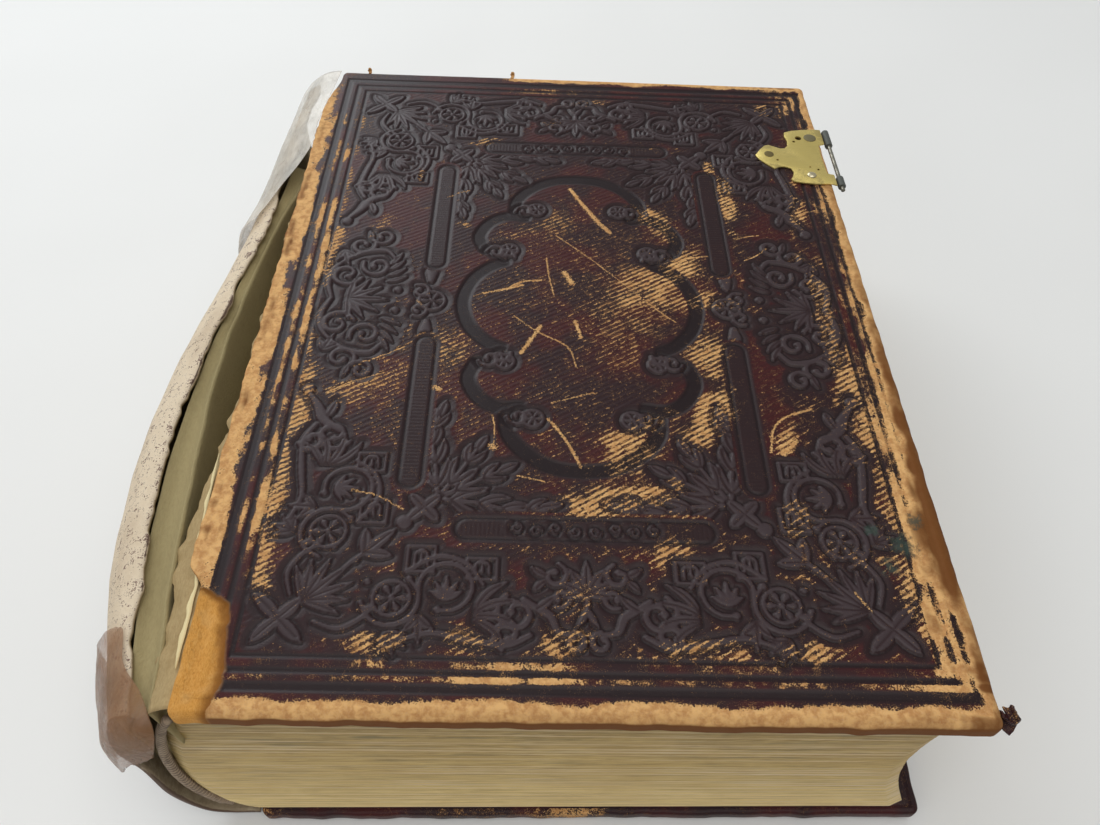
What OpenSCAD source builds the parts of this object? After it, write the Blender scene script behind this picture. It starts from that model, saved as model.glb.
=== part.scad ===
// Large family Bible, leather over boards, lying on its back cover.
// X runs from the spine to the fore edge, Y from the tail to the head, Z up.
// The origin is the centre of the back cover's underside.

/* [Book] */
// Height of the covers, tail to head
book_l = 320; // [300:1:340]
// Width of the covers, spine to fore edge
board_w = 228; // [215:1:240]
// Thickness at the spine, over both covers
spine_h = 102; // [96:1:108]
// Thickness at the fore edge, over both covers
fore_h = 89; // [84:1:92]

/* [Covers] */
// Leather thickness
leather_t = 1.2; // [0.9:0.1:1.5]
// Board thickness
board_t = 5.2; // [4.4:0.1:6]
// Endpaper and turn-in thickness
paste_t = 0.6; // [0.4:0.1:0.8]
// Width of the leather turned in over the board
turn_in = 14; // [10:1:18]
// Depth of the blind stamping
stamp_d = 0.4; // [0.2:0.1:0.6]
// Reach of the torn joint leather beyond the front board
flange_w = 5; // [3:0.5:5.5]

/* [Leaves] */
// Overhang of the covers round the leaves
square_w = 5; // [4:0.5:7]
// Thickness of one turning leaf
leaf_t = 0.5; // [0.4:0.05:0.6]
// Air between turning leaves
leaf_gap = 0.35; // [0.3:0.05:0.4]
// Bulge of the rounded back
round_d = 16; // [10:1:18]
// Hollow of the fore edge
hollow_d = 8; // [4:1:10]

/* [Spine] */
// Sewing tape width
tape_w = 14; // [10:1:18]
// Thickness of the spine leather
spine_t = 1.6; // [1.2:0.1:2]
// How far the torn spine leather stands off the spine edge
flap_x = 40; // [36:1:42]

/* [Clasp] */
// Distance from the head edge to the middle of the clasp
clasp_in = 61; // [40:1:90]
// Clasp length along the fore edge
clasp_l = 42; // [36:1:46]
// Clasp plate thickness
plate_t = 1; // [0.8:0.1:1.4]
// Clasp pin radius
pin_r = 0.9; // [0.8:0.05:1]

/* [Hidden] */
xs = -board_w / 2;
xf = board_w / 2;
hl = book_l / 2;
cover_t = leather_t + board_t + paste_t;
tilt = atan((spine_h - fore_h) / board_w);
block_l = book_l - 2 * square_w;
section_n = 12;
front_n = 6;
back_n = 2;
pitch_z = leaf_t + leaf_gap;
x_back = xs - 1;
x_fore = xf - square_w - 1;
z_low = cover_t + leaf_gap + back_n * pitch_z;
z_high = spine_h - cover_t - leaf_gap - front_n * pitch_z;
clasp_y = hl - clasp_in;
barrel_r = 2.1;
plate_z = cover_t;
pin_x = board_w + 3.6;
pin_z = cover_t - 0.9;
tape_ys = [for (i = [-2:2]) i * (block_l - 60) / 4];
// The leaves' outline is drawn through this many heights, the same for everything on the back.
per_section = 3;
stations = per_section * section_n;

leather_c = [0.20, 0.10, 0.10];
card_c = [0.62, 0.42, 0.22];
paper_c = [0.86, 0.80, 0.66];
edge_c = [0.62, 0.55, 0.34];
brass_c = [0.76, 0.66, 0.34];
cloth_c = [0.62, 0.58, 0.46];
tape_c = [0.78, 0.74, 0.68];

// ---- shared shapes -----------------------------------------------------

// Height of the top of the sewn leaves at x.
function top_z(x) = z_high - (x - xs) * tan(tilt);
// Height of the line a fraction t of the way up the sewn leaves.
function leaf_z(x, t) = z_low + t * (top_z(x) - z_low);
// Rounded back: x at the fraction t of the way up, fuller below the middle.
function back_x(t) = x_back - round_d * pow(max(sin(180 * pow(t, 0.66)), 0.0001), 0.6);
// Hollow fore edge: x at the fraction t of the way up.
function fore_x(t) = x_fore - hollow_d * sin(180 * t);

// A slab whose edges are rounded by b on the top side and c on the bottom side.
module slab(x0, x1, y0, y1, z0, z1, b, c) {
    module section(p, q) {
        polygon([[p, z0 + c], [p + 0.3 * c, z0 + 0.3 * c], [p + c, z0],
                 [q - c, z0], [q - 0.3 * c, z0 + 0.3 * c], [q, z0 + c],
                 [q, z1 - b], [q - 0.3 * b, z1 - 0.3 * b], [q - b, z1],
                 [p + b, z1], [p + 0.3 * b, z1 - 0.3 * b], [p, z1 - b]]);
    }
    intersection() {
        translate([0, y1, 0]) rotate([90, 0, 0]) linear_extrude(y1 - y0) section(x0, x1);
        rotate([90, 0, 90]) translate([0, 0, x0]) linear_extrude(x1 - x0) section(y0, y1);
    }
}

// Puts a shape drawn on its own sheet (x from the spine edge, z from the inner face up) on the front.
module front_place() {
    translate([xs, 0, spine_h - cover_t]) translate([0, 0, cover_t]) rotate([0, tilt, 0])
        translate([0, 0, -cover_t]) children();
}

// The same for the back cover, whose outer face is its underside.
module back_place() {
    translate([xs, 0, cover_t]) mirror([0, 0, 1]) children();
}

// A strip of the XZ plane drawn from points, carried along Y.
module along_y(pts, y0, y1) {
    translate([0, y1, 0]) rotate([90, 0, 0]) linear_extrude(y1 - y0) polygon(pts);
}

// ---- covers ------------------------------------------------------------

module board_core() {
    slab(leather_t, board_w - leather_t, -hl + leather_t, hl - leather_t,
         paste_t, paste_t + board_t, 2.2, 0.8);
}

module rule_frame(inset, w) {
    difference() {
        square([board_w - 2 * inset, book_l - 2 * inset], center = true);
        square([board_w - 2 * inset - 2 * w, book_l - 2 * inset - 2 * w], center = true);
    }
}

// A long bar with round ends.
module pill(cx, cy, w, h) {
    r = min(w, h) / 2;
    translate([cx, cy]) {
        square([w > h ? w - 2 * r : w, h > w ? h - 2 * r : h], center = true);
        for (s = [-1, 1]) translate(w > h ? [s * (w / 2 - r), 0] : [0, s * (h / 2 - r)]) circle(r, $fn = 32);
    }
}

// The lobed outline of the middle frame, grown by d.
module lobes(d) {
    translate([0, 51]) circle(25 + d, $fn = 48);
    translate([0, -51]) circle(25 + d, $fn = 48);
    for (s = [-1, 1], t = [-1, 1]) translate([s * 27, t * 27]) circle(19 + d, $fn = 48);
    square([66 + 2 * d, 60 + 2 * d], center = true);
}

module stamping() {
    translate([board_w / 2, 0, cover_t - stamp_d]) linear_extrude(stamp_d + 1) {
        for (k = [[6, 4.5], [12.5, 2], [17, 2]]) rule_frame(k[0], k[1]);
        for (s = [-1, 1]) {
            difference() { pill(0, s * 97, 86, 11); pill(0, s * 97, 78, 5.5); }
            for (u = [-1, 1])
                difference() { pill(s * 59, u * 49, 11, 74); pill(s * 59, u * 49, 5.5, 66); }
        }
        difference() { lobes(4); lobes(-4); }
    }
}

module cover_leather(flange) {
    difference() {
        union() {
            slab(0, board_w, -hl, hl, 0, cover_t, 2.6, 1);
            if (flange) translate([-flange_w, -100, cover_t - leather_t]) cube([flange_w + 3.5, 190, leather_t]);
        }
        board_core();
        translate([turn_in, -hl + turn_in, -1]) cube([board_w - 2 * turn_in, book_l - 2 * turn_in, 1 + paste_t]);
        stamping();
    }
}

module pastedown() {
    translate([turn_in, -hl + turn_in, 0]) cube([board_w - 2 * turn_in, book_l - 2 * turn_in, paste_t]);
}

// ---- clasp -------------------------------------------------------------

nail_spots = [[board_w - 25, -1], [board_w - 5, 14], [board_w - 7, -14.5]];

module nail_bores(r) {
    for (p = nail_spots) translate([p[0], clasp_y + p[1], 1.4]) cylinder(h = cover_t + 2, r = r, $fn = 24);
}

module front_board() {
    color(card_c) front_place() difference() { board_core(); nail_bores(0.7); }
}

module front_cover_leather() {
    color(leather_c) front_place() difference() {
        cover_leather(true);
        nail_bores(0.7);
        // Room for the pin and its two knuckles at the edge.
        translate([pin_x, clasp_y + clasp_l / 2 + 1, pin_z]) rotate([90, 0, 0])
            cylinder(h = clasp_l + 2, r = barrel_r + 0.1, $fn = 40);
    }
}

module front_pastedown() { color(paper_c) front_place() pastedown(); }

module clasp_plate() {
    h = clasp_l / 2;
    color(brass_c) front_place() {
        translate([0, clasp_y, 0]) difference() {
            union() {
                translate([0, 0, plate_z]) linear_extrude(plate_t) difference() {
                    polygon([[board_w + 2.2, -h], [board_w - 9, -h], [board_w - 16, -h + 2.5],
                             [board_w - 15, -h + 7], [board_w - 15.5, -h + 11], [board_w - 20, -h + 11.5],
                             [board_w - 25, -h + 9.5], [board_w - 31, -1], [board_w - 25, h - 11],
                             [board_w - 20, h - 12.5], [board_w - 15.5, h - 11], [board_w - 15, h - 7],
                             [board_w - 16, h - 2.5], [board_w - 9, h], [board_w + 2.2, h],
                             [board_w + 2.2, h - 12], [board_w - 0.2, h - 12],
                             [board_w - 0.2, -h + 10], [board_w + 2.2, -h + 10]]);
                    for (p = nail_spots) translate([p[0], p[1]]) circle(0.7, $fn = 24);
                    translate([board_w - 12, 12]) circle(1, $fn = 24);
                    translate([board_w - 3.5, -9.5]) circle(0.8, $fn = 24);
                }
                for (k = [[h - 12, 12], [-h, 10]]) translate([pin_x, k[0] + k[1], pin_z]) rotate([90, 0, 0])
                    cylinder(h = k[1], r = barrel_r, $fn = 40);
                for (k = [[h - 12, 12], [-h, 10]]) translate([board_w + 2.1, k[0], pin_z + 0.6])
                    cube([1.6, k[1], plate_z + plate_t - pin_z - 0.6]);
            }
            translate([pin_x, h + 1, pin_z]) rotate([90, 0, 0]) cylinder(h = clasp_l + 2, r = pin_r + 0.02, $fn = 40);
        }
    }
}

module clasp_pin() {
    color(brass_c) front_place() translate([pin_x, clasp_y + clasp_l / 2 + 0.4, pin_z]) rotate([90, 0, 0])
        cylinder(h = clasp_l + 0.8, r = pin_r, $fn = 40);
}

module clasp_nail(i) {
    p = nail_spots[i];
    color(brass_c) front_place() translate([p[0], clasp_y + p[1], 0]) {
        translate([0, 0, 2]) cylinder(h = plate_z + plate_t - 2, r = 0.7, $fn = 24);
        translate([0, 0, plate_z + plate_t]) cylinder(h = 0.5, r = 1.6, $fn = 32);
        translate([0, 0, plate_z + plate_t + 0.5]) cylinder(h = 0.4, r1 = 1.6, r2 = 0.7, $fn = 32);
    }
}
module clasp_nail_1() { clasp_nail(0); }
module clasp_nail_2() { clasp_nail(1); }
module clasp_nail_3() { clasp_nail(2); }

module back_board() { color(card_c) back_place() board_core(); }
module back_cover_leather() { color(leather_c) back_place() cover_leather(false); }
module back_pastedown() { color(paper_c) back_place() pastedown(); }

// Catch on the fore edge of the back cover, a flat plate with a stud under a lip.
module catch_plate() {
    color(brass_c) translate([xf, clasp_y, 0]) {
        translate([0, -9, 1.4]) cube([0.8, 18, 4.4]);
        translate([0.8, 0, 3.6]) rotate([0, 90, 0]) cylinder(h = 1.6, r = 0.9, $fn = 24);
        translate([2.4, 0, 3.6]) rotate([0, 90, 0]) cylinder(h = 0.7, r = 1.7, $fn = 32);
    }
}

// ---- leaves that turn with the covers ----------------------------------

module leaf_front(k) {
    color(paper_c) front_place()
        translate([1.5, -block_l / 2, -leaf_gap - leaf_t - k * pitch_z])
            cube([board_w - square_w - 2.5, block_l, leaf_t]);
}

module leaf_back(k) {
    color(paper_c) translate([xs + 1.5, -block_l / 2, cover_t + leaf_gap + k * pitch_z])
        cube([board_w - square_w - 2.5, block_l, leaf_t]);
}

module front_flyleaf() { leaf_front(0); }
module front_blank_leaf() { leaf_front(1); }
module frontispiece_leaf() { leaf_front(2); }
module title_leaf() { leaf_front(3); }
module preface_leaf() { leaf_front(4); }
module contents_leaf() { leaf_front(5); }
module back_flyleaf() { leaf_back(0); }
module back_blank_leaf() { leaf_back(1); }

// ---- sewn sections -----------------------------------------------------

// One bundle of sewn sections, counted from the top of the book.
module section_block(i) {
    low = stations - (i + 1) * per_section;
    up = [for (k = [low:low + per_section]) let (t = k / stations) [fore_x(t), leaf_z(fore_x(t), t)]];
    down = [for (k = [low + per_section:-1:low]) let (t = k / stations) [back_x(t), leaf_z(back_x(t), t)]];
    color(edge_c) along_y(concat(up, down), -block_l / 2, block_l / 2);
}
module section_01() { section_block(0); }
module section_02() { section_block(1); }
module section_03() { section_block(2); }
module section_04() { section_block(3); }
module section_05() { section_block(4); }
module section_06() { section_block(5); }
module section_07() { section_block(6); }
module section_08() { section_block(7); }
module section_09() { section_block(8); }
module section_10() { section_block(9); }
module section_11() { section_block(10); }
module section_12() { section_block(11); }

// ---- spine -------------------------------------------------------------

// A skin on the rounded back, from d0 to d1 out of it, between the stations a and b.
function skin(d0, d1, a, b) = concat(
    [for (k = [a:b]) let (t = k / stations) [back_x(t) - d0, leaf_z(back_x(t), t)]],
    [for (k = [b:-1:a]) let (t = k / stations) [back_x(t) - d1, leaf_z(back_x(t), t)]]);

module sewing_tape(i) {
    color(cloth_c) along_y(skin(0.02, 0.6, 1, stations - 1), tape_ys[i] - tape_w / 2, tape_ys[i] + tape_w / 2);
}
module sewing_tape_1() { sewing_tape(0); }
module sewing_tape_2() { sewing_tape(1); }
module sewing_tape_3() { sewing_tape(2); }
module sewing_tape_4() { sewing_tape(3); }
module sewing_tape_5() { sewing_tape(4); }

module spine_lining() { color(cloth_c) along_y(skin(0.62, 1.4, 1, stations - 1), -hl + 12, hl - 12); }
module spine_hollow() { color(paper_c) along_y(skin(1.42, 2.2, 2, stations - 3), -hl + 8, hl - 8); }

// The leather that once crossed the spine: held at the back joint, torn free at the front joint.
flap = [[xs - 3, 2.0], [xs - 15, 3.0], [xs - 26, 9], [xs - flap_x + 6, 22], [xs - flap_x + 1, 42],
        [xs - flap_x, 60], [xs - flap_x + 2.5, 76], [xs - flap_x + 9, 88], [xs - flap_x + 16, 95]];
function shift_pts(p, dx, dz) = [for (q = p) [q[0] + dx, q[1] + dz]];
function reversed(p) = [for (i = [len(p) - 1:-1:0]) p[i]];

module spine_leather() {
    color(leather_c) along_y(concat(flap, reversed(shift_pts(flap, -spine_t, -0.5))), -hl + 2, hl - 2);
}
module spine_card() {
    c = [for (i = [3:7]) [flap[i][0] + 0.02, min(flap[i][1], 88)]];
    color(card_c) along_y(concat(c, reversed(shift_pts(c, 1.2, 0))), -hl + 10, hl - 10);
}

// Wrapped cords at the ends of the rounded back.
module band() { polygon(skin(-0.6, 2.2, 1, stations - 1)); }
module headband() {
    color(cloth_c) translate([0, block_l / 2 + 2.4, 0]) rotate([90, 0, 0]) linear_extrude(2.38) band();
}
module tailband() {
    color(cloth_c) translate([0, -block_l / 2 - 0.02, 0]) rotate([90, 0, 0]) linear_extrude(2.38) band();
}

// Old mending tape from the torn spine leather up to the front cover's edge.
module mend(y0, y1) {
    a = [xs - flap_x + 15.8, 95.4];
    b = [xs - 1.6, spine_h - 1.2];
    color(tape_c) along_y([a, b, b + [0, 0.4], a + [-0.2, 0.5]], y0, y1);
}
module repair_tape_head() { mend(hl - 68, hl + 2); }
module repair_tape_tail() { mend(-hl - 1, -hl + 26); }

front_board();
front_cover_leather();
front_pastedown();
clasp_plate();
clasp_pin();
clasp_nail_1();
clasp_nail_2();
clasp_nail_3();
back_board();
back_cover_leather();
back_pastedown();
catch_plate();
front_flyleaf();
front_blank_leaf();
frontispiece_leaf();
title_leaf();
preface_leaf();
contents_leaf();
back_blank_leaf();
back_flyleaf();
section_01();
section_02();
section_03();
section_04();
section_05();
section_06();
section_07();
section_08();
section_09();
section_10();
section_11();
section_12();
sewing_tape_1();
sewing_tape_2();
sewing_tape_3();
sewing_tape_4();
sewing_tape_5();
spine_lining();
spine_hollow();
spine_card();
spine_leather();
headband();
tailband();
repair_tape_head();
repair_tape_tail();
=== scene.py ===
"""Looks of a large antique family Bible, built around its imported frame.

The book lies closed on its back cover. Its front joint is torn, so the spine leather stands
off the rounded back. All sizes in the classes are in millimetres on the closed book: u runs
from the spine edge of a cover to its fore edge, v from the tail edge to the head edge.
"""

import logging
import math
from dataclasses import dataclass, field
from enum import Enum
from functools import partial
from typing import Callable, Sequence

import bpy
import numpy as np
from mathutils import Matrix, Vector


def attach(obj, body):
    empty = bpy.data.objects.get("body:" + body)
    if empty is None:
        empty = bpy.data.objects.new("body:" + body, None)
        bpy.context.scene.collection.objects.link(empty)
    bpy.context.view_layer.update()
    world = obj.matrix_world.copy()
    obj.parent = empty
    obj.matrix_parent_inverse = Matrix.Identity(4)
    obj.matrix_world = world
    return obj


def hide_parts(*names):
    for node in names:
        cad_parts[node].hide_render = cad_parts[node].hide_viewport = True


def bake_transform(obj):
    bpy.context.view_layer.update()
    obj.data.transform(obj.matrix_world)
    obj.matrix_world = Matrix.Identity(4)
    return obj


MM = 0.001
log = logging.getLogger("bible")
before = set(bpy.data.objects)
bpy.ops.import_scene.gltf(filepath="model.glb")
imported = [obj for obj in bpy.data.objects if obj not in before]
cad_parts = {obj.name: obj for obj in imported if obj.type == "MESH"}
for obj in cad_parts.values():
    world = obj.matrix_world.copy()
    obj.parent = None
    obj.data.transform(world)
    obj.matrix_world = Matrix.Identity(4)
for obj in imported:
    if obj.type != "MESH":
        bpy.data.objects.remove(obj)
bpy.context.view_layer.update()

Array = np.ndarray
Piece = bpy.types.Object
Socket = bpy.types.NodeSocket
Finish = bpy.types.Material


# ---------------------------------------------------------------- numbers

def smooth(value: Array, low: float, high: float) -> Array:
    """Return a smooth step of value from 0 at low to 1 at high."""
    t = np.clip((value - low) / (high - low), 0.0, 1.0)
    return t * t * (3.0 - 2.0 * t)


def unrest(x: Array, y: Array, size: float, seed: int) -> Array:
    """Return smooth random values between -1 and 1.

    Args:
        x: first coordinate, in the units of size.
        y: second coordinate.
        size: distance over which the values change.
        seed: seed of the lattice, so each run gives the same values.

    Returns:
        One value a point.
    """
    lattice = np.random.default_rng(seed).uniform(-1.0, 1.0, (257, 257))
    gx, gy = np.asarray(x, float) / size, np.asarray(y, float) / size
    ix, iy = np.floor(gx).astype(int), np.floor(gy).astype(int)
    fx, fy = gx - ix, gy - iy
    fx, fy = fx * fx * (3 - 2 * fx), fy * fy * (3 - 2 * fy)
    x0, x1, y0, y1 = ix % 257, (ix + 1) % 257, iy % 257, (iy + 1) % 257
    low = lattice[x0, y0] * (1 - fx) + lattice[x1, y0] * fx
    high = lattice[x0, y1] * (1 - fx) + lattice[x1, y1] * fx
    return low * (1 - fy) + high * fy


def rounded_path(points: Sequence[Sequence[float]], per_leg: int = 5) -> Array:
    """Return points of a smooth curve through the given ones (Catmull-Rom)."""
    p = np.asarray(points, float)
    p = np.vstack([2 * p[0] - p[1], p, 2 * p[-1] - p[-2]])
    t = np.linspace(0.0, 1.0, per_leg, endpoint=False)[:, None]
    legs = []
    for i in range(1, len(p) - 2):
        a, b, c, d = p[i - 1], p[i], p[i + 1], p[i + 2]
        legs.append(0.5 * (2 * b + (c - a) * t + (2 * a - 5 * b + 4 * c - d) * t ** 2
                           + (3 * b - a - 3 * c + d) * t ** 3))
    return np.vstack(legs + [p[-2:-1]])


def swell(value: Array, rise: tuple[float, float], fall: tuple[float, float]) -> Array:
    """Return a smooth step of value up over the range rise, and down again over the range fall."""
    return smooth(value, *rise) * (1 - smooth(value, *fall))


def off_leg(px: Array, py: Array, a: Sequence[float], b: Sequence[float]) -> tuple[Array, Array]:
    """Return, for each point, the share of the leg from a to b that is nearest, and how far off it is."""
    dx, dy = b[0] - a[0], b[1] - a[1]
    along = np.clip(((px - a[0]) * dx + (py - a[1]) * dy) / max(dx * dx + dy * dy, 1e-6), 0, 1)
    return along, np.hypot(px - a[0] - along * dx, py - a[1] - along * dy)


# ---------------------------------------------------------------- modelling bench

class Bench:
    """Operators used for every piece, each leaving one selected object."""

    @staticmethod
    def clear() -> None:
        """Deselect everything."""
        bpy.ops.object.select_all(action="DESELECT")

    @staticmethod
    def take(name: str) -> Piece:
        """Name the object that an operator has just made, and return it."""
        obj = bpy.context.object
        obj.name = name
        obj.data.name = name
        return obj

    @staticmethod
    def only(obj: Piece) -> None:
        """Select obj alone and make it active."""
        Bench.clear()
        obj.select_set(True)
        bpy.context.view_layer.objects.active = obj

    @staticmethod
    def points(obj: Piece) -> Array:
        """Return the object's vertices as rows of x, y, z in metres."""
        flat = np.empty(len(obj.data.vertices) * 3, np.float32)
        obj.data.vertices.foreach_get("co", flat)
        return flat.reshape(-1, 3).astype(float)

    @staticmethod
    def move_points(obj: Piece, points: Array) -> None:
        """Set the object's vertices from rows of x, y, z in metres."""
        obj.data.vertices.foreach_set("co", np.ascontiguousarray(points, np.float32).ravel())
        obj.data.update()

    @staticmethod
    def note(obj: Piece, **layers: Array) -> None:
        """Store one number a vertex under each name, for the finish to read."""
        for name, values in layers.items():
            layer = obj.data.attributes.new(name, "FLOAT", "POINT")
            layer.data.foreach_set("value", np.ascontiguousarray(values, np.float32).ravel())

    @staticmethod
    def grid(name: str, across: int, along: int, shape: Callable[[Array, Array], Array]) -> Piece:
        """Add a grid and lay it along a surface.

        Args:
            name: name of the new piece.
            across: cells along the first parameter.
            along: cells along the second parameter.
            shape: takes both parameters, each from 0 to 1, and returns x, y, z in millimetres.

        Returns:
            The new object, smooth shaded.
        """
        Bench.clear()
        bpy.ops.mesh.primitive_grid_add(x_subdivisions=across, y_subdivisions=along, size=2.0,
                                        location=(0, 0, 0))
        obj = Bench.take(name)
        flat = Bench.points(obj)
        Bench.move_points(obj, shape((flat[:, 0] + 1) / 2, (flat[:, 1] + 1) / 2) * MM)
        bpy.ops.object.shade_smooth()
        return obj

    @staticmethod
    def edit(obj: Piece, *steps: Callable[[], object]) -> None:
        """Run steps in edit mode on the whole mesh of obj."""
        Bench.only(obj)
        bpy.ops.object.mode_set(mode="EDIT")
        bpy.ops.mesh.select_all(action="SELECT")
        for step in steps:
            step()
        bpy.ops.object.mode_set(mode="OBJECT")

    @staticmethod
    def flip(obj: Piece) -> None:
        """Turn all faces round."""
        Bench.edit(obj, bpy.ops.mesh.flip_normals)

    @staticmethod
    def outward(obj: Piece) -> None:
        """Make all faces point outwards."""
        Bench.edit(obj, lambda: bpy.ops.mesh.normals_make_consistent(inside=False))

    @staticmethod
    def weld(obj: Piece, gap: float = 0.02) -> None:
        """Merge vertices closer than gap millimetres and make the faces point outwards."""
        Bench.edit(obj, lambda: bpy.ops.mesh.remove_doubles(threshold=gap * MM),
                   lambda: bpy.ops.mesh.normals_make_consistent(inside=False))

    @staticmethod
    def modify(obj: Piece, kind: str, **settings: object) -> None:
        """Add a modifier with its settings and apply it."""
        Bench.only(obj)
        modifier = obj.modifiers.new(kind.title(), kind)
        for key, value in settings.items():
            setattr(modifier, key, value)
        bpy.ops.object.modifier_apply(modifier=modifier.name)

    @staticmethod
    def thicken(obj: Piece, thickness: float, offset: float = -1.0) -> None:
        """Give a sheet its thickness in millimetres."""
        Bench.modify(obj, "SOLIDIFY", thickness=thickness * MM, offset=offset)

    @staticmethod
    def soften(obj: Piece, width: float, segments: int = 2, angle: float = 40.0) -> None:
        """Round the sharp edges by width millimetres."""
        Bench.modify(obj, "BEVEL", width=width * MM, segments=segments, limit_method="ANGLE",
                     angle_limit=math.radians(angle), harden_normals=False)
        Bench.shade(35)

    @staticmethod
    def shade(angle: float) -> None:
        """Shade the selected piece smooth, but for edges that turn by more than angle degrees."""
        bpy.ops.object.shade_smooth_by_angle(angle=math.radians(angle))

    @staticmethod
    def settle(obj: Piece) -> None:
        """Move the object's place, turn and size into its mesh."""
        Bench.only(obj)
        bpy.ops.object.transform_apply(location=True, rotation=True, scale=True)

    @staticmethod
    def join(name: str, parts: Sequence[Piece]) -> Piece:
        """Join parts to one piece with the given name."""
        Bench.clear()
        for part in parts:
            part.select_set(True)
        bpy.context.view_layer.objects.active = parts[0]
        if len(parts) > 1:
            bpy.ops.object.join()
        return Bench.take(name)


# ---------------------------------------------------------------- shader recipes

def joined(operation: str, swapped: bool = False) -> Callable[["Wire", object], "Wire"]:
    """Return a method that joins a wire and another number by one Math node, in this order or swapped."""

    def method(self: "Wire", other: object) -> "Wire":
        first, second = (other, self) if swapped else (self, other)
        return self.compute(operation, first, second)

    return method


class Wire:
    """One number in a finish, written with Python's operators."""

    __add__ = __radd__ = joined("ADD")
    __mul__ = __rmul__ = joined("MULTIPLY")
    __sub__ = joined("SUBTRACT")
    __rsub__ = joined("SUBTRACT", swapped=True)
    __truediv__ = joined("DIVIDE")
    at_least = joined("MAXIMUM")
    at_most = joined("MINIMUM")

    def __init__(self, recipe: "Recipe", socket: Socket) -> None:
        """Wrap socket, which belongs to recipe's material."""
        self.recipe, self.socket = recipe, socket

    def compute(self, operation: str, *values: object) -> "Wire":
        """Return the result of one Math node."""
        node = self.recipe.node("ShaderNodeMath", {"operation": operation}, dict(enumerate(values)))
        return Wire(self.recipe, node.outputs[0])

    def sine(self) -> "Wire":
        """Return the sine of self in radians."""
        return self.compute("SINE", self)

    def size(self) -> "Wire":
        """Return self without its sign."""
        return self.compute("ABSOLUTE", self)

    def step(self, low: float, high: float) -> "Wire":
        """Return a smooth step from 0 at low to 1 at high."""
        node = self.recipe.node("ShaderNodeMapRange", {"interpolation_type": "SMOOTHSTEP"},
                                {"Value": self, "From Min": low, "From Max": high})
        return Wire(self.recipe, node.outputs[0])


Colour = tuple[float, float, float]


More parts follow.
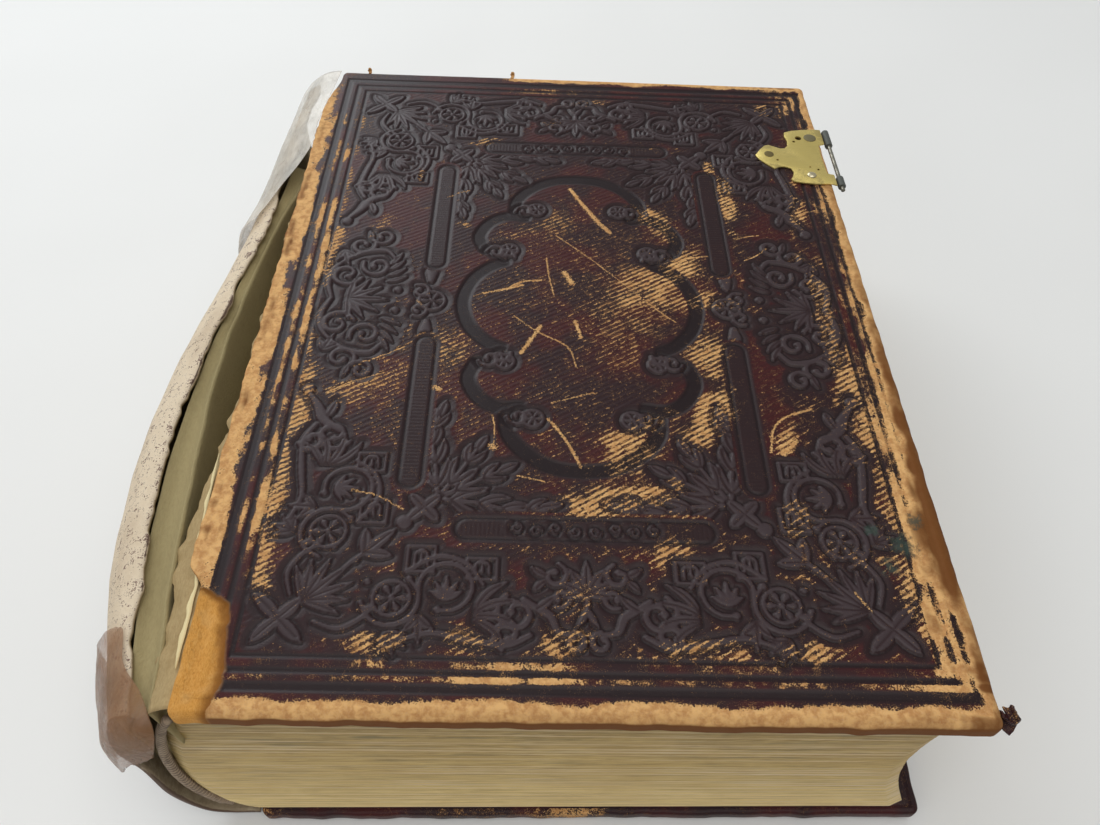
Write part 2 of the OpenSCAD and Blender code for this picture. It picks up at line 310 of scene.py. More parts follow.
class Recipe:
    """The node tree of one material."""

    def __init__(self, name: str) -> None:
        """Start an empty material called name, with its surface shader."""
        self.material = bpy.data.materials.new(name)
        self.material.use_nodes = True
        self.tree = self.material.node_tree
        self.tree.nodes.clear()
        self.output = self.tree.nodes.new("ShaderNodeOutputMaterial")
        self.shader = self.tree.nodes.new("ShaderNodeBsdfPrincipled")
        self.tree.links.new(self.shader.outputs[0], self.output.inputs["Surface"])

    def put(self, socket: Socket, value: object) -> None:
        """Link value to socket, or set it as the socket's number or colour."""
        if isinstance(value, Wire):
            value = value.socket
        if isinstance(value, Socket):
            self.tree.links.new(value, socket)
        elif socket.type == "RGBA" and len(value) == 3:
            socket.default_value = (*value, 1.0)
        else:
            socket.default_value = value

    def node(self, kind: str, settings: dict, values: dict) -> bpy.types.Node:
        """Add a node.

        Args:
            kind: the node's type.
            settings: its properties; "stops" fills a colour ramp with places and colours.
            values: numbers, colours or links for its sockets, by name or number.

        Returns:
            The new node.
        """
        node = self.tree.nodes.new(kind)
        for key, value in settings.items():
            if key == "stops":
                ramp = node.color_ramp.elements
                while len(ramp) < len(value):
                    ramp.new(0.5)
                for stop, (place, colour) in zip(ramp, value):
                    stop.position, stop.color = place, (*colour, 1.0)
            else:
                setattr(node, key, value)
        for key, value in values.items():
            self.put(node.inputs[key], value)
        return node

    def place(self, scale: Sequence[float] = (1000.0, 1000.0, 1000.0), turn: float = 0.0) -> Socket:
        """Return the point on the object, in millimetres times scale / 1000, turned about Z in degrees."""
        coords = self.node("ShaderNodeTexCoord", {}, {}).outputs["Object"]
        turned = (0.0, 0.0, math.radians(turn))
        values = {"Vector": coords, "Scale": tuple(scale), "Rotation": turned}
        return self.node("ShaderNodeMapping", {}, values).outputs[0]

    def part(self, vector: Socket, axis: int) -> Wire:
        """Return one coordinate of vector."""
        return Wire(self, self.node("ShaderNodeSeparateXYZ", {}, {0: vector}).outputs[axis])

    def noted(self, name: str) -> Wire:
        """Return the number that each vertex of the piece holds under name."""
        node = self.node("ShaderNodeAttribute", {"attribute_name": name, "attribute_type": "GEOMETRY"}, {})
        return Wire(self, node.outputs["Fac"])

    def noise(self, vector: Socket, scale: float, detail: float = 3.0, rough: float = 0.55,
              warp: float = 0.0) -> Wire:
        """Return noise from 0 to 1 at scale periods a unit of vector."""
        node = self.node("ShaderNodeTexNoise", {}, {"Vector": vector, "Scale": scale, "Detail": detail,
                                                    "Roughness": rough, "Distortion": warp})
        return Wire(self, node.outputs["Fac"])

    def cells(self, vector: Socket, scale: float) -> Wire:
        """Return the distance to the nearest of scattered points, scale of them a unit of vector."""
        node = self.node("ShaderNodeTexVoronoi", {"feature": "F1"}, {"Vector": vector, "Scale": scale})
        return Wire(self, node.outputs["Distance"])

    def ramp(self, value: Wire, stops: Sequence[tuple[float, Colour]]) -> Socket:
        """Return the colour at value on a ramp of places and colours."""
        return self.node("ShaderNodeValToRGB", {"stops": stops}, {"Fac": value}).outputs["Color"]

    def mix(self, amount: object, first: object, second: object) -> Socket:
        """Return the colour first going over to the colour second by amount."""
        settings = {"data_type": "RGBA", "blend_type": "MIX", "clamp_factor": True}
        return self.node("ShaderNodeMix", settings, {0: amount, 6: first, 7: second}).outputs[2]

    def bump(self, height: Wire, depth: float) -> Socket:
        """Return a normal with height from 0 to 1 raised by depth millimetres."""
        values = {"Height": height, "Distance": depth * MM, "Strength": 1.0}
        return self.node("ShaderNodeBump", {}, values).outputs[0]

    def finish(self, **sockets: object) -> Finish:
        """Set the shader's sockets, named with underscores for spaces, and return the material."""
        for key, value in sockets.items():
            self.put(self.shader.inputs[key.replace("_", " ")], value)
        return self.material


# ---------------------------------------------------------------- finishes

# The ribs pressed into the leather: the cosine and sine of their slope, and their pitch.
RIB_COS, RIB_SIN, RIB_PITCH = 0.848, 0.53, 1.95
# Radians that the thread winds round a cord for each millimetre of the cord.
THREAD_RATE = 7.6
# What the leather notes as its distance into a hole, where there is no hole near.
NO_HOLE = -6.0

class Wear(Enum):
    """How far a cover's leather has worn."""

    FRONT = "front"
    BACK = "back"


@dataclass(frozen=True)
class WornLeather:
    """Dark ribbed calf that has rubbed through to tan on its ribs and edges."""

    name: str
    dark: Colour = (0.024, 0.0085, 0.010)
    red: Colour = (0.049, 0.0068, 0.0072)
    pressed: Colour = (0.024, 0.0115, 0.0125)
    worn: Colour = (0.70, 0.41, 0.160)
    worn_deep: Colour = (0.46, 0.225, 0.078)
    board: Colour = (0.60, 0.285, 0.060)

    def make(self) -> Finish:
        """Return the material. The mesh notes what was stamped, ribbed, rubbed, scratched or torn away."""
        r = Recipe(self.name)
        at = r.place()
        tool, relief, phase, ribs = (r.noted(name) for name in ("tool", "relief", "grain", "ribs"))
        rub, scratch, bare, verd = (r.noted(name) for name in ("rub", "scratch", "bare", "verd"))
        fine = r.noise(at, 1.9, 4.0, 0.6)
        medium = r.noise(at, 0.42, 4.0, 0.6, 0.3)
        broad = r.noise(at, 0.055, 3.0, 0.5)
        dust = r.noise(at, 5.5, 2.0, 0.6)
        rib = (phase + medium * 2.4).sine() * ribs * 0.5 + 0.5
        along = r.part(at, 0) * RIB_COS + r.part(at, 1) * RIB_SIN
        lane = r.node("ShaderNodeCombineXYZ", {}, {0: phase * 0.42, 1: along * 0.26}).outputs[0]
        streaks = r.noise(lane, 1.0, 4.0, 0.62)
        broken = (rib * (fine * 1.1 + 0.35)).at_most(1.0)
        # Wear takes the crests of the ribs first, and stays off what the stamp pressed down.
        pull = rub + (broken - 0.5) * 0.52 * ribs + (fine - 0.5) * 1.25 + (medium - 0.5) * 0.9
        pull = pull + (streaks - 0.5) * ribs * 1.25 - tool * 0.33 + relief.at_least(0.0) * 0.14
        worn = pull.step(0.52, 0.60)
        streak = scratch + (fine - 0.5) * 2.3 + (dust - 0.5) * 1.0 + (medium - 0.5) * 0.9 - tool * 0.15
        specks = (dust + (medium - 0.5) * 0.5 + rub * 0.20 - tool * 0.06).step(0.69, 0.73)
        worn = worn.at_least(streak.step(0.60, 0.68)).at_least(specks)
        ground = r.mix(broad.step(0.42, 0.62), self.dark, self.red)
        ground = r.mix(rib.step(0.15, 0.9) * ribs * 0.22, ground, (0.018, 0.008, 0.009))
        ground = r.mix(tool * 0.92, ground, self.pressed)
        # Painted shade darkens the sunk parts of the stamping, and a painted highlight lightens its raised
        # parts.
        ground = r.mix(relief.step(-0.1, -1.0) * tool * 0.75, ground, (0.010, 0.0055, 0.0065))
        ground = r.mix(relief.step(0.35, 1.0) * tool * 0.60, ground, (0.062, 0.045, 0.049))
        ground = r.mix(((medium - 0.5) * 2.0).step(0.1, 0.9) * 0.25, ground, (0.08, 0.045, 0.042))
        tan = r.mix(medium.step(0.35, 0.68), self.worn, self.worn_deep)
        tan = r.mix(fine.step(0.45, 0.75) * 0.45, tan, (0.62, 0.40, 0.21))
        tan = r.mix(rub.step(1.0, 1.6) * 0.96, tan, (0.135, 0.043, 0.006))
        colour = r.mix(worn, ground, tan)
        green = (verd + (medium - 0.5) * 0.9 + (fine - 0.5) * 0.4).step(0.5, 0.75)
        colour = r.mix(green * 0.7, colour, (0.035, 0.060, 0.048))
        fibre = r.noise(r.place((1000, 420, 1000), 35.0), 2.6, 5.0, 0.7)
        card = r.ramp(fibre, [(0.25, (0.40, 0.165, 0.032)), (0.5, self.board), (0.78, (0.70, 0.39, 0.125))])
        card = r.mix(r.noise(at, 0.16, 2.0).step(0.5, 0.72) * 0.35, card, (0.62, 0.36, 0.13))
        torn = (bare + (fine - 0.5) * 0.8 + (medium - 0.5) * 0.8).step(-0.12, 0.12)
        inside = (bare + (medium - 0.5) * 2.2).step(4.4, 0.5)
        card = r.mix(inside * 0.90, card, (0.20, 0.075, 0.013))
        lip = (bare + (medium - 0.5) * 0.8).size().step(1.2, 0.1)
        colour = r.mix(lip * (1 - torn) * 0.6, colour, (0.30, 0.14, 0.045))
        colour = r.mix(torn, colour, card)
        rough = 0.36 + fine * 0.16 + worn * 0.36 - tool * 0.06 + torn * 0.5
        height = rib * ribs * (1 - tool) * (1 - torn) * 0.22 + fine * 0.36 + r.cells(at, 3.1) * 0.10
        height = height - worn * 0.35 + torn * fibre * 0.8
        return r.finish(Base_Color=colour, Roughness=rough.at_most(0.96), Normal=r.bump(height, 0.22),
                        Specular_IOR_Level=0.22)


@dataclass(frozen=True)
class GiltEdge:
    """Old gilding over the edges of many leaves, with paper on their faces."""

    name: str = "gilt_edge"

    def make(self) -> Finish:
        """Return the material. It reads layer and level off the mesh."""
        r = Recipe(self.name)
        at = r.place()
        layer, level = r.noted("layer"), r.noted("level")
        lines = r.noise(r.place((16, 16, 5200)), 1.0, 4.0, 0.75)
        long_lines = r.noise(r.place((4, 4, 1700)), 1.0, 2.0, 0.6)
        blotch = r.noise(r.place((60, 60, 110)), 1.0, 3.0, 0.6, 0.6)
        # The gilt darkens towards the top of the block. This is partly the gilt's own duller tone and
        # partly painted shade under the front cover; blotches and lines vary the tone.
        shade_and_tone = level * 0.78 + (blotch - 0.5) * 0.34 + (long_lines - 0.5) * 0.36 + (layer - 0.5) * 0.12
        gold = r.ramp(shade_and_tone, [(0.02, (0.80, 0.61, 0.275)), (0.22, (0.62, 0.455, 0.185)),
                             (0.46, (0.49, 0.34, 0.122)), (0.66, (0.33, 0.222, 0.075)),
                             (0.80, (0.110, 0.064, 0.014))])
        gold = r.mix(lines.step(0.50, 0.66) * 0.52, gold, (0.125, 0.082, 0.028))
        gold = r.mix(lines.step(0.50, 0.34) * 0.40, gold, (0.78, 0.61, 0.30))
        green = r.noise(r.place((35, 35, 500)), 1.0, 3.0, 0.6)
        gold = r.mix(green.step(0.52, 0.70) * level * 0.55, gold, (0.070, 0.082, 0.052))
        normal_z = r.part(r.node("ShaderNodeNewGeometry", {}, {}).outputs["True Normal"], 2).size()
        face = normal_z.step(0.55, 0.8)
        paper = r.mix(r.noise(at, 0.03, 3.0).step(0.3, 0.8), (0.66, 0.54, 0.36), (0.54, 0.40, 0.22))
        colour = r.mix(face, gold, paper)
        rough = 0.50 + (lines - 0.5) * 0.25 + face * 0.35
        normal = r.bump(lines * 0.7 + long_lines * 0.3, 0.16)
        return r.finish(Base_Color=colour, Roughness=rough, Normal=normal, Metallic=(1 - face) * 0.12)


def gilded(r: Recipe, colour: Socket) -> Socket:
    """Return colour with old gilding where the mesh notes gilt."""
    lines = r.noise(r.place((16, 16, 900)), 1.0, 4.0, 0.75)
    gold = r.mix(lines.step(0.42, 0.62), (0.125, 0.078, 0.026), (0.060, 0.038, 0.014))
    return r.mix(r.noted("gilt").step(0.3, 0.7), colour, gold)


@dataclass(frozen=True)
class AgedPaper:
    """Cream paper, foxed and browned towards its edges."""

    name: str
    tint: Colour = (0.68, 0.56, 0.37)
    brown: Colour = (0.42, 0.27, 0.12)
    half_w: float = 110.0
    half_l: float = 155.0

    def make(self) -> Finish:
        """Return the material."""
        r = Recipe(self.name)
        at = r.place()
        fox = r.noise(at, 0.09, 4.0, 0.62)
        fibre = r.noise(at, 2.2, 4.0, 0.6)
        rim = (r.part(at, 1).size() - (self.half_l - 24)) / 24.0
        side = (r.part(at, 0) - (self.half_w - 26)) / 26.0
        brown = rim.at_least(side).at_least(0.0) * 0.55 + (fox - 0.5) * 0.8
        colour = r.mix(brown.step(0.1, 0.8) * 0.75, self.tint, self.brown)
        colour = r.mix(fox.step(0.66, 0.74) * 0.5, colour, (0.36, 0.19, 0.07))
        colour = r.mix(fibre.step(0.45, 0.7) * 0.22, colour, (0.78, 0.67, 0.48))
        return r.finish(Base_Color=gilded(r, colour), Roughness=0.80 + fibre * 0.12,
                        Normal=r.bump(fibre, 0.06), Specular_IOR_Level=0.3)


@dataclass(frozen=True)
class MarbledPaper:
    """Brown and buff marbled endpaper."""

    name: str = "marbled_paper"

    def make(self) -> Finish:
        """Return the material."""
        r = Recipe(self.name)
        at = r.place()
        swirl = r.noise(at, 0.045, 5.0, 0.62, 2.4)
        vein = (swirl * 9.0).sine() * 0.5 + 0.5
        colour = r.ramp(vein, [(0.0, (0.11, 0.045, 0.03)), (0.35, (0.33, 0.17, 0.10)),
                               (0.6, (0.60, 0.46, 0.30)), (0.85, (0.17, 0.12, 0.12)),
                               (1.0, (0.70, 0.58, 0.40))])
        colour = r.mix(r.noise(at, 0.05, 3.0).step(0.5, 0.8) * 0.4, colour, (0.45, 0.31, 0.16))
        return r.finish(Base_Color=gilded(r, colour), Roughness=0.62 + vein * 0.12,
                        Normal=r.bump(r.noise(at, 2.0, 4.0), 0.05))


@dataclass(frozen=True)
class PeeledLeather:
    """Spine leather whose grain has flaked away, pale with dark flecks outside and raw inside."""

    name: str = "peeled_leather"

    def make(self) -> Finish:
        """Return the material. It reads rise, side and brink off the mesh."""
        r = Recipe(self.name)
        at = r.place()
        rise, side, brink = r.noted("rise"), r.noted("side"), r.noted("brink")
        flake = r.noise(at, 0.34, 5.0, 0.68, 0.5)
        fine = r.noise(at, 1.8, 4.0, 0.65)
        large = r.noise(r.place((1000, 500, 1000)), 0.05, 3.0, 0.6)
        pale = r.mix(flake, (0.60, 0.47, 0.315), (0.84, 0.73, 0.565))
        pale = r.mix(large.step(0.45, 0.75) * 0.45, pale, (0.42, 0.30, 0.19))
        flecks = (flake + (fine - 0.5) * 0.9 + (rise - 1) * 0.30 + brink * 0.10).step(0.585, 0.65)
        pale = r.mix(flecks * 0.85, pale, (0.105, 0.036, 0.028))
        kept = ((1 - rise) * 0.75 + (flake - 0.5) * 0.9 + (large - 0.5) * 0.7).step(0.42, 0.52)
        outer = r.mix(kept, pale, (0.055, 0.028, 0.030))
        inner = r.mix(flake.step(0.35, 0.7), (0.27, 0.20, 0.12), (0.40, 0.32, 0.205))
        colour = r.mix(side, outer, inner)
        edge = (brink + (flake - 0.5) * 0.45).step(0.56, 0.70)
        colour = r.mix(edge * 0.9, colour, (0.085, 0.040, 0.022))
        normal = r.bump(flake * 0.6 + fine * 0.5 - kept * 0.3, 0.5)
        return r.finish(Base_Color=colour, Roughness=0.72 + fine * 0.2 - kept * 0.22, Normal=normal)


@dataclass(frozen=True)
class RawBoard:
    """Fibrous brown stuff: board, card, old lining paper or dried glue."""

    name: str
    light: Colour = (0.50, 0.26, 0.085)
    deep: Colour = (0.25, 0.115, 0.035)

    def make(self) -> Finish:
        """Return the material."""
        r = Recipe(self.name)
        fibre = r.noise(r.place((1000, 350, 1000), 20.0), 1.6, 5.0, 0.7)
        spot = r.noise(r.place(), 0.2, 3.0)
        colour = r.mix(fibre, self.deep, self.light)
        colour = r.mix(spot.step(0.5, 0.8) * 0.4, colour, self.deep)
        return r.finish(Base_Color=colour, Roughness=0.9, Normal=r.bump(fibre, 0.35),
                        Specular_IOR_Level=0.2)


@dataclass(frozen=True)
class GluedCloth:
    """Open cloth set in old brown glue."""

    name: str
    thread: Colour = (0.30, 0.245, 0.150)
    glue: Colour = (0.135, 0.095, 0.045)
    pitch: float = 0.9

    def make(self) -> Finish:
        """Return the material."""
        r = Recipe(self.name)
        at = r.place()
        turn = 2 * math.pi / self.pitch
        warp, weft = ((r.part(at, axis) * turn).sine() * 0.5 + 0.5 for axis in (1, 2))
        weave = warp.at_least(weft)
        clump = r.noise(at, 0.22, 4.0, 0.65)
        fine = r.noise(at, 1.5, 3.0)
        colour = r.mix((weave * 0.5 + clump * 0.9 - 0.35), self.glue, self.thread)
        colour = r.mix(fine.step(0.6, 0.72) * 0.6, colour, (0.50, 0.44, 0.32))
        normal = r.bump(weave * 0.5 + clump * 0.8 + fine * 0.3, 0.4)
        return r.finish(Base_Color=colour, Roughness=0.62 + clump * 0.3, Normal=normal)


@dataclass(frozen=True)
class TwistedCord:
    """Cord wrapped in grey-tan thread; the wrap follows the run noted on the mesh."""

    name: str = "twisted_cord"

    def make(self) -> Finish:
        """Return the material. It reads run and round off the mesh."""
        r = Recipe(self.name)
        run, around = r.noted("run"), r.noted("round")
        wrap = (run * THREAD_RATE + around * 2 * math.pi).sine() * 0.5 + 0.5
        grime = r.noise(r.place(), 0.25, 4.0, 0.65)
        fibre = r.noise(r.place(), 3.5, 3.0)
        # The thread is lighter on the crown of each turn and darker between turns, as painted shade in the
        # grooves of the wrap.
        colour = r.mix(wrap, (0.165, 0.118, 0.082), (0.50, 0.385, 0.27))
        colour = r.mix(grime.step(0.42, 0.7) * 0.65, colour, (0.105, 0.065, 0.045))
        return r.finish(Base_Color=colour, Roughness=0.86, Normal=r.bump(wrap * 0.8 + fibre * 0.4, 0.3))


@dataclass(frozen=True)
class OldBrass:
    """Thin brass with grey-green tarnish in its hollows."""

    name: str
    bright: Colour = (0.78, 0.60, 0.17)
    tarnish: Colour = (0.105, 0.105, 0.055)
    amount: float = 0.5

    def make(self) -> Finish:
        """Return the material."""
        r = Recipe(self.name)
        at = r.place()
        patch = r.noise(at, 0.16, 4.0, 0.62)
        fine = r.noise(at, 2.4, 4.0, 0.6)
        rubbed = r.noise(r.place((300, 1800, 600), 24.0), 1.0, 3.0)
        dull = patch + (fine - 0.5) * 0.3 + r.noted("rim") * 0.30 + self.amount - 0.5
        dull = dull.step(0.52, 0.80)
        colour = r.mix(rubbed * 0.5, self.bright, tuple(0.7 * c for c in self.bright))
        colour = r.mix(dull * 0.8, colour, self.tarnish)
        return r.finish(Base_Color=colour, Metallic=0.93 - dull * 0.35,
                        Roughness=0.34 + dull * 0.30 + fine * 0.10,
                        Normal=r.bump(fine * 0.4 + patch * 0.8, 0.12))


@dataclass(frozen=True)
class MendingTape:
    """Clear tape gone dull and creased."""

    name: str
    tint: Colour = (0.62, 0.56, 0.50)
    cover: float = 0.55

    def make(self) -> Finish:
        """Return the material."""
        r = Recipe(self.name)
        at = r.place()
        crease = r.noise(r.place((1000, 350, 1000), 28.0), 0.22, 5.0, 0.62, 1.2)
        stain = r.noise(at, 0.05, 4.0, 0.6)
        fine = r.noise(at, 1.6, 3.0)
        colour = r.mix(stain.step(0.40, 0.70) * 0.8, self.tint, tuple(0.55 * c for c in self.tint))
        cover = self.cover + (crease - 0.5) * 0.7 + (fine - 0.5) * 0.15 + (stain - 0.5) * 0.5
        alpha = cover.at_most(0.94).at_least(0.20)
        return r.finish(Base_Color=colour, Alpha=alpha, Roughness=0.20 + crease * 0.2,
                        Normal=r.bump(crease, 0.6), Specular_IOR_Level=0.5)


@dataclass(frozen=True)
class PlainGround:
    """Matt white sheet under the book."""

    name: str = "table_top"

    def make(self) -> Finish:
        """Return the material."""
        r = Recipe(self.name)
        soft = r.noise(r.place((3, 3, 3)), 1.0, 2.0)
        return r.finish(Base_Color=r.mix(soft, (0.80, 0.80, 0.785), (0.84, 0.84, 0.825)), Roughness=0.75)


def dress(obj: Piece, material: Finish) -> None:
    """Give obj one material in place of any it has."""
    obj.data.materials.clear()
    obj.data.materials.append(material)


# ---------------------------------------------------------------- blind stamping

@dataclass
class Stamp:
    """The stamped pattern of one quarter of a cover, on a grid of heights.

    x is the distance from the cover's long middle line and y from its cross middle line.
    """

    x: Array
    y: Array
    dome: Array = field(init=False)
    gap: Array = field(init=False)
    level: Array = field(init=False)
    flat: Array = field(init=False)
    vein: Array = field(init=False)

    def __post_init__(self) -> None:
        """Start with nothing stamped."""
        shape = (len(self.y), len(self.x))
        self.dome, self.level, self.flat, self.vein = (np.zeros(shape) for _ in range(4))
        self.gap = np.full(shape, 9.0)

    def window(self, a: Sequence[float], b: Sequence[float],
               reach: float) -> tuple[slice, slice, Array, Array]:
        """Return the rows, columns and points of the grid in the box from a to b, grown by reach."""
        c0, c1 = np.searchsorted(self.x, [min(a[0], b[0]) - reach, max(a[0], b[0]) + reach])
        r0, r1 = np.searchsorted(self.y, [min(a[1], b[1]) - reach, max(a[1], b[1]) + reach])
        px, py = np.meshgrid(self.x[c0:c1], self.y[r0:r1])
        return slice(r0, r1), slice(c0, c1), px, py

    def dab(self, a: Sequence[float], b: Sequence[float], ra: float, rb: float, height: float) -> None:
        """Raise a rounded bar from a to b whose radius goes from ra to rb."""
        rows, cols, px, py = self.window(a, b, max(ra, rb) + 3.6)
        if not px.size:
            return
        along, away = off_leg(px, py, a, b)
        radius = ra + (rb - ra) * along
        self.gap[rows, cols] = np.minimum(self.gap[rows, cols], away - radius)
        hump = height * np.sqrt(np.clip(1 - (away / radius) ** 2, 0, 1))
        self.dome[rows, cols] = np.maximum(self.dome[rows, cols], hump)

    def bead(self, at: Sequence[float], radius: float, height: float = 0.5) -> None:
        """Raise a round bead."""
        self.dab(at, at, radius, radius, height)

    def groove(self, a: Sequence[float], b: Sequence[float], half: float, depth: float) -> None:
        """Cut a fine groove from a to b."""
        rows, cols, px, py = self.window(a, b, 2)
        if not px.size:
            return
        _, away = off_leg(px, py, a, b)
        self.vein[rows, cols] = np.maximum(self.vein[rows, cols], depth * np.exp(-(away / half) ** 2))

    def stroke(self, points: Sequence[Sequence[float]], start: float, middle: float, end: float,
               height: float = 0.42, legs: int = 4) -> None:
        """Draw a raised line through points whose half width goes from start over middle to end."""
        path = rounded_path(points, legs)
        t = np.linspace(0, 1, len(path))
        radii = np.interp(t, [0, 0.45, 1], [start, middle, end])
        for i in range(len(path) - 1):
            self.dab(path[i], path[i + 1], radii[i], radii[i + 1], height)

    def leaf(self, x: float, y: float, angle: float, length: float, width: float, bend: float = 0.0,
             height: float = 0.5) -> None:
        """Draw a pointed leaf from its root, with its tip turned by bend degrees."""
        t = np.linspace(0, 1, 7)
        way = np.radians(angle + bend * t)
        steps = length / 6 * np.column_stack([np.cos(way), np.sin(way)])
        path = np.vstack([[x, y], np.array([x, y]) + np.cumsum(steps[:-1], axis=0)])
        radii = np.maximum(0.5 * width * np.sin(math.pi * (0.12 + 0.86 * t)) ** 0.8, 0.28)
        for i in range(6):
            self.dab(path[i], path[i + 1], radii[i], radii[i + 1], height)
        if width > 2.5:
            for i in range(5):
                self.groove(path[i], path[i + 1], 0.50, 0.40)

    def curl(self, x: float, y: float, start: float, turns: float, outer: float, inner: float,
             width: float = 1.1) -> None:
        """Draw a spiral that closes in on (x, y) from the angle start, ending in a bead."""
        t = np.linspace(0, 1, max(int(abs(turns) * 12), 4))
        radius = outer + (inner - outer) * t
        way = np.radians(start) + 2 * math.pi * turns * t
        path = np.column_stack([x + radius * np.cos(way), y + radius * np.sin(way)])
        self.stroke(path, width * 0.8, width, width * 0.7, legs=2)
        self.bead(path[-1], width * 1.25)

    def rosette(self, x: float, y: float, radius: float, petals: int = 6) -> None:
        """Draw a flower in a ring."""
        way = np.linspace(0, 2 * math.pi, 17)
        ring = np.column_stack([x + radius * np.cos(way), y + radius * np.sin(way)])
        self.stroke(ring, 0.75, 0.75, 0.75, 0.38, 1)
        for k in range(petals):
            turn = 2 * math.pi * k / petals
            near, far = radius * 0.28, radius * 0.62
            self.dab((x + near * math.cos(turn), y + near * math.sin(turn)),
                     (x + far * math.cos(turn), y + far * math.sin(turn)), 0.45, radius * 0.22, 0.5)
        self.bead((x, y), radius * 0.2, 0.6)

    def pad(self, x: float, y: float, w: float, h: float) -> None:
        """Draw a small raised tablet with a tulip in it."""
        for sx, sy, ex, ey in ((-1, -1, 1, -1), (1, -1, 1, 1), (1, 1, -1, 1), (-1, 1, -1, -1)):
            self.dab((x + sx * w / 2, y + sy * h / 2), (x + ex * w / 2, y + ey * h / 2), 0.6, 0.6, 0.34)
        self.stroke([(x - w * 0.24, y + h * 0.25), (x - w * 0.2, y - h * 0.22), (x, y - h * 0.32),
                     (x + w * 0.2, y - h * 0.22), (x + w * 0.24, y + h * 0.25)], 0.5, 0.7, 0.5, 0.42)
        self.dab((x, y - h * 0.2), (x, y + h * 0.15), 0.4, 0.7, 0.45)

    def fan(self, x: float, y: float, angle: float, spread: float, count: int, length: float, width: float,
            droop: float = 24.0) -> None:
        """Draw leaves that open from one root, the outer ones shorter and bent outwards."""
        for k in range(count):
            side = 0.0 if count == 1 else 2 * k / (count - 1) - 1
            self.leaf(x, y, angle + side * spread / 2, length * (1 - 0.30 * abs(side)), width, droop * side)

    def frond(self, points: Sequence[Sequence[float]], count: int, length: float, width: float,
              lean: float) -> None:
        """Draw a stem with pairs of curling leaflets that shorten towards its tip."""
        path = rounded_path(points, 6)
        self.stroke(points, 1.0, 0.8, 0.5)
        heading = np.degrees(np.arctan2(*np.gradient(path, axis=0).T[::-1]))
        for k in range(count):
            share = (k + 0.4) / count
            i = int(share * (len(path) - 1))
            for side in (-1, 1):
                self.leaf(*path[i], heading[i] + side * lean, length * (1 - 0.5 * share),
                          width * (1 - 0.3 * share), -side * 44, 0.44 + 0.05 * side)
        self.leaf(*path[-1], heading[-1], length * 0.55, width * 0.9)

    def band(self, points: Sequence[Sequence[float]], half: float, depth: float) -> None:
        """Press a smooth trough along points."""
        path = rounded_path(points, 6)
        for a, b in zip(path[:-1], path[1:]):
            rows, cols, px, py = self.window(a, b, half + 1.6)
            if not px.size:
                continue
            share = off_leg(px, py, a, b)[1] / half
            trough = -depth * (1 - smooth(share, 0.72, 0.98))
            self.level[rows, cols] = np.minimum(self.level[rows, cols], trough)
            self.flat[rows, cols] = np.maximum(self.flat[rows, cols], 1 - smooth(share, 0.96, 1.12))

    def bar(self, x0: float, y0: float, x1: float, y1: float, half: float = 5.0) -> None:
        """Press a round-ended bar with a fluted panel standing in it."""
        rows, cols, px, py = self.window((x0, y0), (x1, y1), half + 2)
        length = math.hypot(x1 - x0, y1 - y0)
        run = ((px - x0) * (x1 - x0) + (py - y0) * (y1 - y0)) / length
        _, away = off_leg(px, py, (x0, y0), (x1, y1))
        trough = -0.36 * (1 - smooth(away, half - 1.2, half)) + 0.30 * (1 - smooth(away, 2.5, 3.3))
        rim = 0.16 * np.exp(-((away - half - 0.1) / 0.5) ** 2) + 0.14 * np.exp(-((away - 3.0) / 0.35) ** 2)
        flute = 0.07 * np.sin(2 * math.pi * run / 1.45) * (1 - smooth(away, 2.1, 2.7))
        inside = away < half + 1.2
        self.level[rows, cols] = np.where(inside, trough + rim + flute, self.level[rows, cols])
        self.flat[rows, cols] = np.maximum(self.flat[rows, cols], 1 - smooth(away, half, half + 0.6))
        self.gap[rows, cols] = np.where(inside, 9.0, self.gap[rows, cols])

    def rules(self, inset_x: float, inset_y: float, width: float, half_w: float, half_l: float) -> None:
        """Press one ruled line round the cover, inset from its edges."""
        px, py = np.meshgrid(self.x, self.y)
        off = np.maximum(px - (half_w - inset_x), py - (half_l - inset_y))
        line = np.abs(off) / (width / 2)
        self.level = np.minimum(self.level, -0.30 * (1 - smooth(line, 0.6, 1.0)))
        self.flat = np.maximum(self.flat, 1 - smooth(line, 0.95, 1.15))

    def heights(self) -> tuple[Array, Array, Array]:
        """Return the relief in millimetres, the stamped mask, and the raised or sunk share."""
        raised = self.dome + 0.05 - self.vein
        moat = -0.34 * np.exp(-((self.gap - 0.45) / 0.55) ** 2)
        lip = 0.13 * np.exp(-((self.gap - 2.5) / 0.45) ** 2)
        relief = self.level + np.where(self.gap < 0, raised, moat + lip) * (self.gap < 3.4)
        mask = np.maximum(self.flat, 1 - smooth(self.gap, 2.1, 2.9))
        return relief, mask, np.clip(relief / 0.4, -1.0, 1.0)


